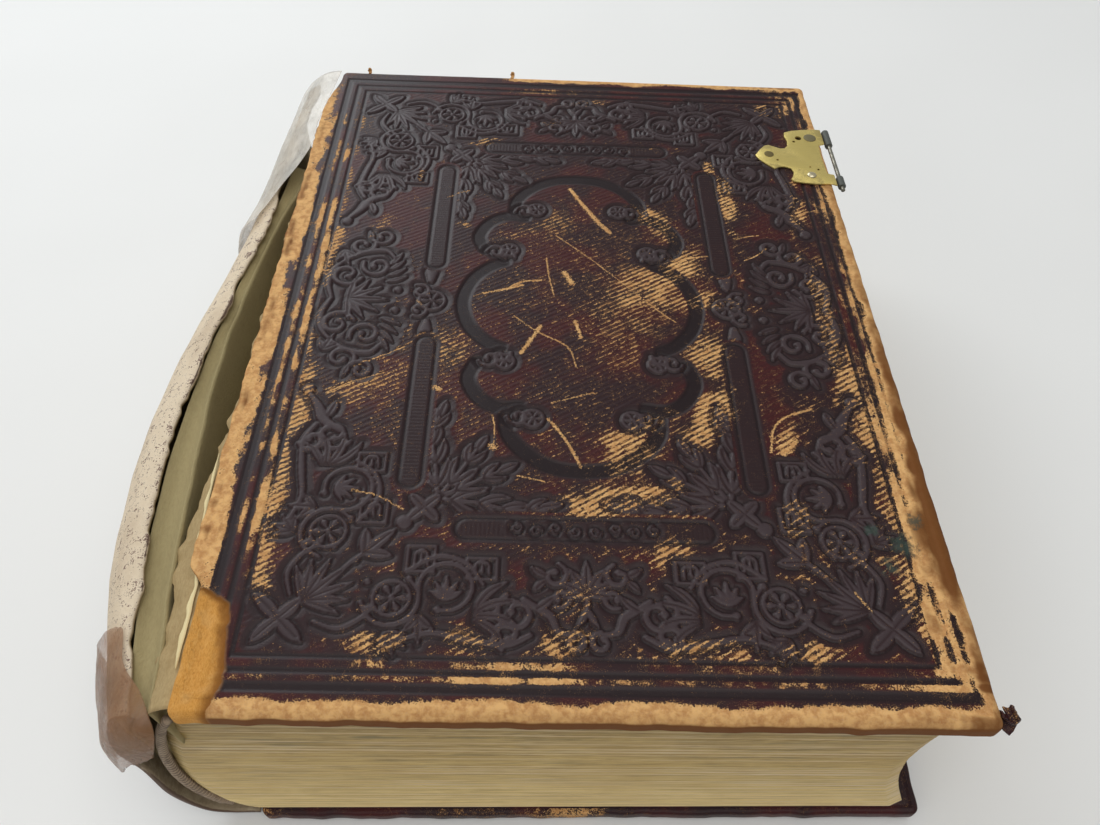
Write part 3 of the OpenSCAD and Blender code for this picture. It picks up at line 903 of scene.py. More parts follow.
@dataclass(frozen=True)
class FamilyPlate:
    """The engraved plate that stamped both covers: rules, corner arabesques, bars and a lobed frame."""

    half_w: float = 116.0
    half_l: float = 160.0

    def stamp(self, x: Array, y: Array) -> Stamp:
        """Return one quarter of the plate on the grid lines x and y."""
        s = Stamp(x, y)
        self.corner(s, False)
        self.corner(s, True)
        self.side(s)
        self.foot(s)
        self.inner_corner(s)
        for points in (((0, 78), (10, 76.5), (19, 71.5), (25.5, 63.5), (27, 55.5)),
                       ((22.5, 51), (30, 51.5), (37, 47), (41, 38.5), (38.5, 30.5)),
                       ((30, 23.5), (36, 20), (42.5, 12), (45.5, 0), (42.5, -12))):
            s.band(points, 3.2, 0.40)
        for x0, y0, start, turns in ((22.5, 55.2, 0, 1.0), (33.6, 29.0, 10, 1.0), (29.8, 27.2, 200, -0.8)):
            s.curl(x0, y0, start, turns, 4.0, 1.2, 0.95)
        s.rosette(17.4, 56.2, 3.6)
        s.rosette(28.2, 30.2, 3.4)
        s.bar(0, 100.2, 37.5, 100.2)
        s.bar(57.4, 22.5, 57.4, 81.5)
        for k in range(4):
            s.curl(3.2 + 6.2 * k, 100.2 + 0.5 * (-1) ** k, 90 * k, 1.1 * (-1) ** k, 1.9, 0.7, 0.42)
        for inset_x, inset_y, width in ((14.6, 17.4, 1.7), (10.2, 13.1, 2.1), (5.4, 8.4, 3.4)):
            s.rules(inset_x, inset_y, width, self.half_w, self.half_l)
        return s

    def at(self, p: float, q: float, turned: bool) -> tuple[float, float]:
        """Return the place p in from the side edge and q in from the end, or with the two swapped."""
        return (self.half_w - q, self.half_l - p) if turned else (self.half_w - p, self.half_l - q)

    def way(self, angle: float, turned: bool) -> float:
        """Return a direction that is given with both distances growing inwards."""
        return 270 - angle if turned else 180 + angle

    def corner(self, s: Stamp, turned: bool) -> None:
        """Draw one arm of the corner arabesque, along the end of the cover or turned up its side."""
        at, way = partial(self.at, turned=turned), partial(self.way, turned=turned)
        hand = 1.0 if turned else -1.0
        if not turned:
            for angle, length in ((135, 11.5), (225, 10.0), (-45, 10.5), (45, 8.5)):
                s.leaf(*at(25.5, 28.4), way(angle), length, 4.6, 8)
            s.bead(at(25.5, 28.4), 1.3, 0.6)
            s.fan(*at(31.5, 34.0), way(45), 118, 7, 17.0, 3.1, 10)
            for k in range(5):
                turn = math.radians(-6 + 25.5 * k)
                s.bead(at(31.5 + 19.5 * math.cos(turn), 34.0 + 19.5 * math.sin(turn)), 1.2)
            s.fan(*at(47.5, 50.0), way(45), 84, 3, 12.5, 4.2, 14)
            s.stroke([at(40, 42), at(44, 47), at(47.5, 50)], 0.8, 0.9, 0.9)
        s.stroke([at(36, 27.5), at(43, 25.5), at(49, 28.5), at(52, 32)], 0.7, 1.0, 0.8)
        s.rosette(*at(57.5, 35.4), 5.6)
        s.curl(*at(57.5, 35.4), way(190), hand * -0.62, 9.0, 7.9, 1.0)
        s.fan(*at(57.0, 24.6), way(-52), 80, 4, 8.5, 2.6)
        s.fan(*at(66.0, 30.0), way(-85), 70, 3, 9.0, 2.8)
        s.pad(*at(65.2, 48.6), 8.4, 8.6)
        s.pad(*at(84.0, 45.6), 9.0, 7.0)
        s.curl(*at(73.6, 39.0), way(200), hand * 0.85, 8.6, 7.4, 1.0)
        s.fan(*at(73.6, 35.0), way(90), 110, 5, 8.0, 2.4, 12)
        s.stroke([at(61, 44), at(70, 49.5), at(79, 47.5), at(84.5, 40.5)], 0.8, 1.0, 0.8)
        for k, length in enumerate((12.5, 13.5, 12.5, 10.5)):
            s.leaf(*at(83.0, 33.0 - 1.4 * k), way(62 - 27 * k), length, 3.0, hand * 46)
        s.curl(*at(95.0, 31.5), way(120), hand * -1.15, 6.4, 1.8, 1.15)
        s.curl(*at(92.5, 24.5), way(250), hand * 0.9, 4.6, 1.5, 1.25)
        s.stroke([at(62, 22.6), at(70, 24.8), at(78, 23.4), at(86, 22.0), at(93, 21.6), at(99, 24.5)],
                 0.8, 1.3, 1.0)
        if not turned:
            s.stroke([at(97, 36), at(101, 33), at(105, 30.5), at(107, 26), at(111, 25.0)], 0.8, 1.6, 0.9)
            s.leaf(*at(101, 33), way(30), 6.5, 3.0, 25)
            s.curl(*at(112.2, 22.6), way(90), -0.9, 3.2, 1.4, 1.1)
        else:
            s.stroke([at(97, 33), at(101, 27), at(107, 24.0), at(112, 20.5)], 1.4, 2.2, 1.1)
            s.leaf(*at(103, 28), way(25), 7.0, 3.4, 20)
            s.bead(at(114.6, 19.4), 2.3, 0.55)

    def side(self, s: Stamp) -> None:
        """Draw half of the ornament in the middle of the long side."""
        at = partial(self.at, turned=False)
        s.fan(*at(26, 160), 180, 150, 7, 16.0, 3.2, 16)
        s.curl(*at(24, 146.5), 200, 1.1, 6.6, 1.8, 1.2)
        s.curl(*at(35.5, 141.5), 20, -1.1, 6.0, 1.7, 1.15)
        s.stroke([at(20, 160), at(17.5, 152), at(18.5, 144), at(23, 138)], 0.9, 1.4, 0.8)
        s.stroke([at(23, 138), at(30, 133.5), at(38, 132.5), at(42, 137)], 0.8, 1.4, 0.9)
        s.curl(*at(28, 129.5), 150, 1.0, 5.6, 1.6, 1.15)
        s.curl(*at(36, 124.0), 330, -1.0, 4.6, 1.5, 1.1)
        for k in range(4):
            s.leaf(*at(40.5, 150 - 3.2 * k), 165 - 12 * k, 8.0, 2.6, -18)
        s.fan(*at(21, 133), 250, 70, 3, 9.0, 2.6, 10)
        s.leaf(*at(30, 121), 250, 6.5, 2.6, 10)
        s.bead(at(45, 154.5), 1.7)

    def foot(self, s: Stamp) -> None:
        """Draw half of the palmette in the middle of the end."""
        for k in range(4):
            s.leaf(0.0, 122.5, -90 + 27 * k, 11.5 - 1.2 * k, 3.4, 12 * k)
        s.stroke([(0, 121), (0, 127)], 1.6, 1.1, 0.8)
        s.curl(9.8, 116.2, 250, -0.95, 4.2, 1.3, 1.05)
        s.curl(7.8, 123.5, 60, 0.9, 3.4, 1.2, 1.0)
        s.leaf(12.6, 116.0, -20, 5.0, 2.8, -30)
        s.leaf(12.6, 118.0, 35, 4.6, 2.6, 20)
        s.leaf(0.0, 127.0, 70, 6.5, 2.4, -25)

    def inner_corner(self, s: Stamp) -> None:
        """Draw the acanthus in the corner of the inner frame and the flower on the bars' crossing."""
        at = partial(self.at, turned=False)
        for points, count, length in (
                (((68, 73), (66.5, 84), (64.5, 95), (66.5, 104)), 4, 13.0),
                (((71, 70), (82, 69), (93, 66.5), (102, 68)), 4, 13.0),
                (((70, 73), (75.5, 82), (80, 90)), 2, 12.5),
                (((71, 72), (80, 77), (88, 81.5)), 2, 12.5)):
            s.frond([at(*p) for p in points], count, length, 3.9, 40.0)
        for angle in (45, 135, 225, 315):
            s.leaf(*at(64.5, 67.0), angle, 6.6, 4.4, 0)
        for p, q, radius, height in ((64.6, 105.5, 2.0, 0.5), (102.5, 66.0, 1.9, 0.5),
                                     (64.5, 67.0, 1.5, 0.6), (58.6, 61.4, 2.7, 0.5)):
            s.bead(at(p, q), radius, height)
        s.stroke([at(57.4, 140), at(57.4, 149)], 1.6, 2.6, 1.4)
        s.curl(*at(54.0, 155.0), 60, 1.0, 3.8, 1.3, 1.0)
        s.rosette(57.4, 0.0, 5.0)


# ---------------------------------------------------------------- the case of the book

@dataclass(frozen=True)
class Book:
    """Driving sizes of the whole book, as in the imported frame."""

    length: float = 320.0
    width: float = 228.0
    spine_h: float = 102.0
    fore_h: float = 89.0
    cover_t: float = 7.0

    @property
    def tilt(self) -> float:
        """Return the front cover's slope in radians."""
        return math.atan((self.spine_h - self.fore_h) / self.width)

    @property
    def spine_x(self) -> float:
        """Return x of the covers' spine edges."""
        return -self.width / 2

    @property
    def half_l(self) -> float:
        """Return half the covers' length."""
        return self.length / 2

    def front(self, u: Array, v: Array, z: Array) -> Array:
        """Return points of the front cover, with z above its inner face."""
        c, s = math.cos(self.tilt), math.sin(self.tilt)
        w = z - self.cover_t
        return np.column_stack([self.spine_x + u * c + w * s, v - self.half_l,
                                self.spine_h - u * s + w * c])

    def back(self, u: Array, v: Array, z: Array) -> Array:
        """Return points of the back cover, with z above its inner face as it faces the leaves."""
        return np.column_stack([self.spine_x + u, v - self.half_l, self.cover_t - z])


BOOK = Book()


@dataclass(frozen=True)
class Edge:
    """The rounded edge of a cover, as its path from the flat top down to the turned-in underside."""

    top_r: float = 2.8
    foot_r: float = 1.0
    height: float = BOOK.cover_t - 0.05
    tuck: float = 1.4

    @property
    def run(self) -> float:
        """Return the length of the path."""
        return self.knots()[0][-1]

    def knots(self) -> tuple[list[float], list[float], list[float]]:
        """Return the run, the reach outwards and the drop at points of the path."""
        run, out, drop = [0.0], [0.0], [0.0]
        for turn in np.linspace(0, math.pi / 2, 7)[1:]:
            run.append(self.top_r * turn)
            out.append(self.top_r * math.sin(turn))
            drop.append(self.top_r * (1 - math.cos(turn)))
        wall = self.height - self.top_r - self.foot_r
        for share in (0.33, 0.66, 1.0):
            run.append(run[6] + wall * share)
            out.append(self.top_r)
            drop.append(self.top_r + wall * share)
        foot = run[-1]
        for turn in np.linspace(0, math.pi / 2, 4)[1:]:
            run.append(foot + self.foot_r * turn)
            out.append(self.top_r - self.foot_r * (1 - math.cos(turn)))
            drop.append(self.height - self.foot_r * (1 - math.sin(turn)))
        run.append(run[-1] + self.tuck)
        out.append(out[-1] - self.tuck)
        drop.append(self.height)
        return run, out, drop


@dataclass(frozen=True)
class Rub:
    """A worn patch: its middle, its two half sizes, its lean in degrees and how strong it is."""

    u: float
    v: float
    long: float
    short: float
    lean: float
    amount: float


FRONT_RUBS = (
    Rub(131, 95, 20, 9, 52, 0.50), Rub(158, 106, 22, 9, 62, 0.46), Rub(161, 136, 16, 9, 60, 0.44),
    Rub(124, 71, 24, 6, 14, 0.60), Rub(141, 55, 13, 8, 35, 0.30), Rub(112, 36, 15, 7, 30, 0.32),
    Rub(161, 163, 16, 6, 0, 0.34), Rub(143, 176, 20, 8, 48, 0.27), Rub(155, 181, 16, 6, 58, 0.30),
    Rub(147, 211, 14, 6, -55, 0.62), Rub(178, 224, 20, 4, 88, 0.58), Rub(173, 250, 5, 3, 80, 0.55),
    Rub(103, 280, 8, 4, 20, 0.36), Rub(150, 262, 12, 4, 0, 0.34), Rub(74, 264, 8, 4, 0, 0.34),
    Rub(100, 307, 26, 3, 0, 0.42), Rub(118, 297, 20, 4, 10, 0.26), Rub(16, 186, 18, 4, 86, 0.50),
    Rub(33, 202, 10, 4, 70, 0.30), Rub(46, 236, 7, 2, 90, 0.40), Rub(38, 118, 15, 9, 35, 0.30),
    Rub(18, 108, 16, 4, 88, 0.46), Rub(16, 62, 22, 4, 90, 0.50), Rub(18, 41, 9, 4, 90, 0.38),
    Rub(53, 22, 9, 4, 0, 0.55), Rub(78, 23, 12, 4, 0, 0.52), Rub(108, 22, 10, 4, 20, 0.50),
    Rub(146, 22, 20, 4, 4, 0.48), Rub(176, 21, 12, 4, 0, 0.30), Rub(207, 150, 40, 4, 90, 0.50),
    Rub(207, 222, 22, 4, 84, 0.42), Rub(203, 191, 6, 5, 40, 0.46), Rub(214, 32, 11, 6, 100, 0.62),
    Rub(222, 62, 24, 9, 90, 0.60), Rub(181, 66, 12, 8, 60, 0.36), Rub(188, 52, 16, 10, 0, 0.22),
    Rub(214, 302, 12, 8, 20, 0.42), Rub(183, 97, 8, 4, 80, 0.42), Rub(86, 198, 10, 6, 20, 0.18),
    Rub(80, 208, 5, 4, 30, 0.34), Rub(68, 207, 4, 4, 0, 0.40), Rub(104, 207, 8, 10, 0, 0.20),
    Rub(62, 133, 18, 10, 40, 0.20), Rub(90, 15, 16, 2, 0, 0.40), Rub(90, 11, 30, 2, 0, 0.40),
    Rub(212, 118, 26, 3, 90, 0.34), Rub(128, 149, 30, 16, 60, 0.14), Rub(40, 146, 14, 22, 90, 0.12),
)

# Scratches through the leather: half width, then the points along each.
FRONT_SCRATCHES = (
    (1.7, ((111, 231), (116, 221), (122, 210), (127, 203))),
    (0.5, ((105, 200), (121, 184), (142, 160), (150, 152))),
    (0.6, ((101, 186), (102, 176), (104, 165))), (0.9, ((86, 168), (92, 172), (99, 173))),
    (1.0, ((77, 165), (84, 167), (92, 170))), (1.4, ((99, 148), (96, 142), (92, 134))),
    (0.6, ((89, 153), (98, 145), (109, 138), (112, 128))), (1.0, ((102, 104), (108, 95), (113, 84))),
    (0.5, ((103, 111), (109, 113), (118, 116))), (0.6, ((25, 113), (34, 119), (44, 123))),
    (0.6, ((33, 126), (42, 131), (50, 136))), (0.8, ((40, 73), (48, 71), (57, 66))),
    (0.9, ((177, 92), (179, 101), (184, 107), (194, 111))), (1.6, ((181, 91), (186, 97))),
    (0.6, ((181, 188), (186, 191), (191, 196))), (0.5, ((179, 201), (184, 203), (189, 204))),
    (0.6, ((59, 223), (63, 226), (68, 228))), (1.3, ((112, 151), (114, 143))),
    (2.2, ((108, 178), (111, 172))), (0.6, ((83, 105), (84, 99), (84, 92))),
    (0.9, ((194, 40), (198, 34))), (2.2, ((83, 92), (84, 91))), (2.0, ((62, 117), (64, 116))),
    (0.6, ((206, 217), (211, 220), (217, 222))), (0.6, ((101, 78), (92, 80))),
    (0.9, ((52, 160), (54, 157))), (0.7, ((151, 182), (158, 188), (166, 190))),
)


def note_plain(obj: Piece, tool: float, rub: float) -> None:
    """Note the same whole, unribbed leather at every vertex of obj."""
    plain = dict(tool=tool, relief=0.0, grain=0.0, rub=rub, scratch=0.0, bare=NO_HOLE, verd=0.0)
    count = len(obj.data.vertices)
    Bench.note(obj, **{key: np.full(count, value) for key, value in plain.items()})


@dataclass
class StampedCover:
    """The leather of one cover, in four stamped quarters with rounded edges, and its turned-in margins."""

    name: str
    body: str
    node: str
    place: Callable[[Array, Array, Array], Array]
    wear: Wear
    leather: Finish
    pitch: float = 0.5
    edge: Edge = Edge()

    def build(self) -> None:
        """Make the quarters and the turn-in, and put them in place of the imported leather."""
        quarters = [self.quarter(sx, sy) for sx in (-1, 1) for sy in (-1, 1)]
        for piece in quarters + [self.turn_in()]:
            dress(piece, self.leather)
            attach(piece, self.body)
            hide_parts(self.node)
            log.info("%s: %d vertices", piece.name, len(piece.data.vertices))

    def reach(self, v: Array) -> Array:
        """Return how far the torn joint leather stands out past the spine edge at v."""
        if self.wear is Wear.BACK:
            return np.zeros_like(v)
        ragged = 0.45 * unrest(v, v * 0, 13.0, 31) + 0.22 * unrest(v, v * 0, 2.4, 32)
        return np.maximum(0.0, (4.7 + ragged) * swell(v, (39, 46), (284, 318)))

    def quarter(self, sx: int, sy: int) -> Piece:
        """Return the quarter on the side sx of the long middle line and sy of the cross middle line."""
        half_w, half_l = BOOK.width / 2, BOOK.half_l
        flat_w, flat_l = half_w - self.edge.top_r, half_l - self.edge.top_r
        run = self.edge.run
        nx, ny = round((flat_w + run) / self.pitch), round((flat_l + run) / self.pitch)
        grow = FamilyPlate.half_w / half_w
        lines_x = np.linspace(0, flat_w + run, nx + 1)
        lines_y = np.linspace(0, flat_l + run, ny + 1)
        relief, tool, share = FamilyPlate().stamp(lines_x * grow, lines_y).heights()
        held: dict[str, Array] = {}

        def shape(s: Array, t: Array) -> Array:
            col, row = np.rint(s * nx).astype(int), np.rint(t * ny).astype(int)
            a, b = lines_x[col], lines_y[row]
            ex, ey = np.maximum(a - flat_w, 0), np.maximum(b - flat_l, 0)
            over = np.hypot(ex, ey)
            dx, dy = ex / np.maximum(over, 1e-6), ey / np.maximum(over, 1e-6)
            over = np.minimum(over, run)
            knots = self.edge.knots()
            out, drop = np.interp(over, knots[0], knots[1]), np.interp(over, knots[0], knots[2])
            u0 = half_w + sx * np.minimum(a, flat_w)
            v = half_l + sy * (np.minimum(b, flat_l) + out * dy)
            if sx < 0:
                reach = self.reach(v) * (dx > 0.2)
                flange = np.interp(over, [0, 3.6, 4.6, 6.0, run], [0, 1, 1, 0, 0]) * reach
                thin = np.interp(over, [0, 3.6, 4.6, 6.0, run], [0, 0.5, 1.6, 2.4, self.edge.height])
                drop = drop + (thin - drop) * smooth(reach, 0.2, 2.0)
                out = out + flange
            u = u0 + sx * out * dx
            rel, mask, part = relief[row, col], tool[row, col], share[row, col]
            grain = 2 * math.pi * (RIB_COS * v - RIB_SIN * u) / RIB_PITCH + 0.9 * unrest(u, v, 16, 5)
            kept = 3.0 * swell(v, (40, 70), (300, 318))
            from_side, from_end = np.minimum(u, BOOK.width - u), np.minimum(v, BOOK.length - v)
            edge_in = np.minimum(np.minimum(u + kept, BOOK.width - u), from_end)
            field_in = smooth(from_side, 14, 15.5) * smooth(from_end, 17, 18.5)
            held.update(tool=mask, relief=part, grain=grain, ribs=field_in)
            held.update(self.damage(u, v, over, edge_in))
            rub, bare = held["rub"], held["bare"]
            rub = held["rub"] = rub + (np.minimum(rub, 0.66) - rub) * field_in
            lift = rel + 0.018 * np.sin(grain) * (1 - mask) * field_in + 0.12 * unrest(u, v, 21, 6)
            lift = lift - 0.75 * smooth(bare, -0.2, 0.5) + 0.25 * np.exp(-((bare + 0.5) / 0.5) ** 2)
            lift = lift * np.interp(over, [0, 1.5, run], [1, 0.5, 0.0]) - 0.10 * smooth(rub, 0.5, 0.9)
            wobble = 0.35 * unrest(u + v, u - v, 7, 8) * smooth(over, 0.5, 4.0)
            return self.place(u + sx * dx * wobble, v + sy * dy * wobble, BOOK.cover_t - drop + lift)

        side = {-1: "spine", 1: "fore"}[sx]
        end = {-1: "tail", 1: "head"}[sy]
        obj = Bench.grid(f"{self.name}_{side}_{end}_quarter", nx, ny, shape)
        Bench.note(obj, **held)
        if (sx * sy < 0) != (self.wear is Wear.BACK):
            Bench.flip(obj)
        return obj

    def damage(self, u: Array, v: Array, over: Array, edge_in: Array) -> dict[str, Array]:
        """Return the wear, scratches, bare board and stain at points of the cover."""
        weave = 2.6 * unrest(u, v, 11, 41) + 1.2 * unrest(u, v, 4, 42)
        rim = 1 - smooth(edge_in + 0.55 * weave, 3.2, 6.6)
        rub = 0.10 + 0.10 * unrest(u, v, 34, 43) + 0.62 * rim + 1.2 * smooth(over, 2.6, 5.6)
        scratch, verd = np.zeros_like(u), np.zeros_like(u)
        if self.wear is Wear.BACK:
            rub = 0.13 + 0.08 * unrest(u, v, 34, 43) + 0.42 * rim * unrest(u, v, 22, 47)
            rub = rub + 0.10 * smooth(over, 3.6, 7.5)
            for k in range(14):
                draw = np.random.default_rng(900 + k).uniform(0, 1, 5)
                rub = rub + self.patch(u, v, Rub(20 + 190 * draw[0], 20 + 280 * draw[1], 8 + 26 * draw[2],
                                                 4 + 7 * draw[3], 180 * draw[4], 0.3))
            return dict(rub=rub, scratch=scratch, bare=np.full_like(u, NO_HOLE), verd=verd)
        for patch in FRONT_RUBS:
            rub = rub + self.patch(u, v, patch)
        rub = rub + 0.045 * swell(u, (70, 130), (190, 205)) * (1 - smooth(v, 230, 280))
        rub = rub + 0.27 * smooth(u, 196, 222) * (1 - smooth(v, 90, 190)) * smooth(v, 4, 14)
        head = smooth(v, 296, 318)
        rub = rub - 0.62 * head * rim * (1 - smooth(u, 70, 90)) + 0.22 * head * rim
        lines = 0.5 + 0.5 * np.cos(2 * math.pi * (u - 2.6) / 4.5)
        patchy = 0.72 + 0.75 * unrest(u * 1.6, v, 9, 48) + 0.45 * unrest(u * 2, v, 3.2, 49)
        patchy = np.clip(patchy, 0.0, 1.25)
        worn_rules = 1 - smooth(np.abs(v - 16.0), 1.0, 4.0)
        tail_rule = 1 - smooth(np.abs(v - 11.2), 0.5, 1.8)
        spine_side = (1 - smooth(u, 12, 21)) * swell(v, (36, 60), (270, 312))
        rub = rub + (0.34 + 0.34 * lines) * patchy * spine_side
        rub = rub + 0.16 * patchy * swell(u, (12, 20), (40, 90)) * swell(v, (18, 30), (60, 110))
        rub = rub + 0.40 * smooth(u + weave, 213, 223) * swell(v, (60, 90), (276, 300))
        rub = rub + 0.30 * patchy * smooth(u, 180, 200) * smooth(v, 282, 296)
        rub = rub + 0.22 * patchy * smooth(u, 196, 212)
        rub = rub + (0.20 + 0.14 * weave) * patchy * worn_rules * smooth(u, 16, 30)
        rub = rub + 0.35 * (1 - smooth(v, 2, 7)) + 0.30 * patchy * tail_rule
        rub = rub + 0.18 * smooth(u, 216, 224) * (1 - smooth(v, 60, 110)) - 0.10 * smooth(v, 150, 250)
        for half, points in FRONT_SCRATCHES:
            path = rounded_path(points, 3)
            near = (u > path[:, 0].min() - 4) & (u < path[:, 0].max() + 4)
            near &= (v > path[:, 1].min() - 4) & (v < path[:, 1].max() + 4)
            for a, b in zip(path[:-1], path[1:]):
                _, away = off_leg(u[near], v[near], a, b)
                scratch[near] = np.maximum(scratch[near], 0.95 * (1 - smooth(away, 0.0, half * 1.25)))
        for cu, cv, size in ((213, 57, 7.5), (219, 66, 4.5), (207, 49, 5.0), (204, 62, 4.0)):
            verd = np.maximum(verd, 0.85 - 0.5 * np.hypot(u - cu, v - cv) / size)
        return dict(rub=rub, scratch=scratch, bare=self.bare_corner(u, v), verd=verd)

    @staticmethod
    def patch(u: Array, v: Array, rub: Rub) -> Array:
        """Return one worn patch, strongest in its middle."""
        c, s = math.cos(math.radians(rub.lean)), math.sin(math.radians(rub.lean))
        a = ((u - rub.u) * c + (v - rub.v) * s) / rub.long
        b = ((v - rub.v) * c - (u - rub.u) * s) / rub.short
        ring = np.sqrt(a * a + b * b) + 0.35 * unrest(u, v, 6, 44)
        return 1.32 * rub.amount * (1 - smooth(ring, 0.1, 1.4))

    @staticmethod
    def bare_corner(u: Array, v: Array) -> Array:
        """Return how far inside the hole in the leather each point of the tail spine corner is."""
        ragged = 0.8 * unrest(u, v, 5.0, 45) + 0.4 * unrest(u, v, 1.6, 46)
        right = np.interp(v, [-9, 0, 4, 7, 13, 20, 27, 33, 37, 41],
                          [8, 10.5, 12.5, 13.2, 13.0, 11.6, 11.6, 9.0, 3.5, -8])
        return np.minimum(right - u, (v + 9) * 0.8) + ragged

    def turn_in(self) -> Piece:
        """Return the leather margin turned in over the inner face of the board."""
        start, margin = 2.0, 13.6

        def shape(s: Array, t: Array) -> Array:
            around = 4 * s
            side = np.minimum(around.astype(int), 3)
            f = around - side
            inset = start + (margin - start) * t
            x = np.choose(side, [f, 1 + 0 * f, 1 - f, 0 * f])
            y = np.choose(side, [0 * f, f, 1 + 0 * f, 1 - f])
            u = inset + (BOOK.width - 2 * inset) * x
            v = inset + (BOOK.length - 2 * inset) * y
            return self.place(u, v, np.interp(t, [0, 1], [0.06, 0.10]) + 0.05 * unrest(u, v, 9, 61))

        obj = Bench.grid(f"{self.name}_turn_in", 160, 6, shape)
        Bench.thicken(obj, 0.5, 0.0)
        Bench.weld(obj, 0.05)
        note_plain(obj, tool=0.0, rub=0.1)
        return obj


@dataclass(frozen=True)
class Clasp:
    """The clasp plate on the front cover, with knuckles, nails and empty holes. Its hasp is lost."""

    thick: float = 0.8
    seat: float = 7.12
    pin_u: float = 231.6
    pin_z: float = 6.1
    barrel_r: float = 1.7
    outline: tuple[tuple[float, float], ...] = (
        (228.9, 281.0), (226.6, 281.2), (220.0, 280.6), (215.2, 279.6), (211.4, 278.0), (211.0, 275.0),
        (211.8, 271.4), (211.2, 267.4), (209.6, 265.4), (207.6, 265.2), (205.2, 266.4), (202.4, 267.7),
        (200.4, 266.9), (198.2, 264.2), (195.4, 259.6), (196.6, 256.6), (199.8, 252.8), (202.8, 249.7),
        (205.0, 251.2), (207.4, 251.6), (210.2, 250.4), (211.0, 247.4), (210.2, 244.6), (208.9, 242.4),
        (210.0, 240.8), (214.6, 240.0), (219.4, 239.5), (226.6, 239.9), (228.9, 238.9), (228.9, 246.4),
        (226.0, 247.2), (225.6, 258.0), (226.0, 268.8), (228.9, 269.8))
    holes: tuple[tuple[float, float, float], ...] = (
        (205.0, 256.2, 0.6), (214.8, 270.8, 0.7), (222.4, 249.8, 0.6), (219.0, 251.6, 0.45),
        (217.3, 273.6, 1.5))

    def build(self) -> None:
        """Make the plate, its knuckles and its nails."""
        brass = OldBrass("plate_brass", (1.0, 0.80, 0.27), (0.30, 0.24, 0.09), 0.38).make()
        plate = self.plate()
        knuckles = [self.knuckle(275.8, 11.0), self.knuckle(243.0, 6.4)]
        dull = OldBrass("knuckle_brass", (0.30, 0.29, 0.22), (0.075, 0.085, 0.085), 0.80).make()
        for piece in [plate, *knuckles]:
            dress(piece, brass if piece == plate else dull)
            self.fix(piece)
            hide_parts("clasp_plate")
        dark = OldBrass("dark_nail", tarnish=(0.030, 0.022, 0.020), amount=0.86)
        grey = OldBrass("grey_nail", tarnish=(0.060, 0.070, 0.075), amount=1.0)
        dome = OldBrass("dome_nail", bright=(0.70, 0.62, 0.42), amount=0.42)
        for u, v, radius, rise, number, finish in ((201.7, 260.4, 2.2, 0.35, 1, dark),
                                                   (222.8, 274.0, 2.9, 0.5, 3, grey),
                                                   (218.6, 245.5, 2.1, 0.9, 2, dome)):
            nail = self.nail(f"clasp_nail_head_{number}", u, v, radius, rise)
            dress(nail, finish.make())
            self.fix(nail)
            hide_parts(f"clasp_nail_{number}")
        for name in ("clasp_pin", "catch_plate"):
            brown = OldBrass(f"{name}_brass", (0.34, 0.32, 0.26), (0.08, 0.085, 0.075), 0.62)
            dress(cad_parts[name], brown.make())

    def fix(self, piece: Piece) -> None:
        """Let piece ride on the front cover."""
        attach(piece, "front_cover")

    @staticmethod
    def lay(obj: Piece) -> None:
        """Move a piece modelled on the flat cover to where the cover lies."""
        p = Bench.points(obj) / MM
        Bench.move_points(obj, BOOK.front(p[:, 0], p[:, 1], p[:, 2]) * MM)

    def plate(self) -> Piece:
        """Return the lobed plate with its holes bored."""
        Bench.clear()
        bpy.ops.mesh.primitive_circle_add(vertices=len(self.outline), fill_type="NGON", location=(0, 0, 0))
        obj = Bench.take("clasp_leaf_plate")
        rim = np.array([(u, v, self.seat) for u, v in self.outline])[::-1]
        Bench.move_points(obj, rim * MM)
        Bench.outward(obj)
        if obj.data.polygons[0].normal.z < 0:
            Bench.flip(obj)
        Bench.thicken(obj, self.thick, 1.0)
        Bench.soften(obj, 0.24, 2, 30)
        for u, v, radius in self.holes:
            bpy.ops.mesh.primitive_cylinder_add(vertices=16, radius=radius * MM, depth=6 * MM,
                                                location=(u * MM, v * MM, self.seat * MM))
            cutter = bpy.context.object
            Bench.modify(obj, "BOOLEAN", object=cutter, operation="DIFFERENCE", solver="EXACT")
            bpy.data.objects.remove(cutter)
        Bench.only(obj)
        Bench.shade(28)
        p = Bench.points(obj) / MM
        away = np.full(len(p), 9.0)
        for a, b in zip(rim, np.roll(rim, -1, axis=0)):
            away = np.minimum(away, off_leg(p[:, 0], p[:, 1], a, b)[1])
        Bench.note(obj, rim=1 - smooth(away, 0.0, 1.2))
        self.lay(obj)
        return obj

    def knuckle(self, v: float, length: float) -> Piece:
        """Return one rolled knuckle round the pin, centred at v."""
        bpy.ops.mesh.primitive_cylinder_add(vertices=32, radius=self.barrel_r * MM, depth=length * MM,
                                            location=(self.pin_u * MM, v * MM, self.pin_z * MM),
                                            rotation=(math.pi / 2, 0, 0))
        obj = Bench.take(f"clasp_knuckle_{int(v)}")
        Bench.settle(obj)
        Bench.soften(obj, 0.3, 2, 40)
        Bench.note(obj, rim=np.full(len(obj.data.vertices), 0.3))
        self.lay(obj)
        return obj

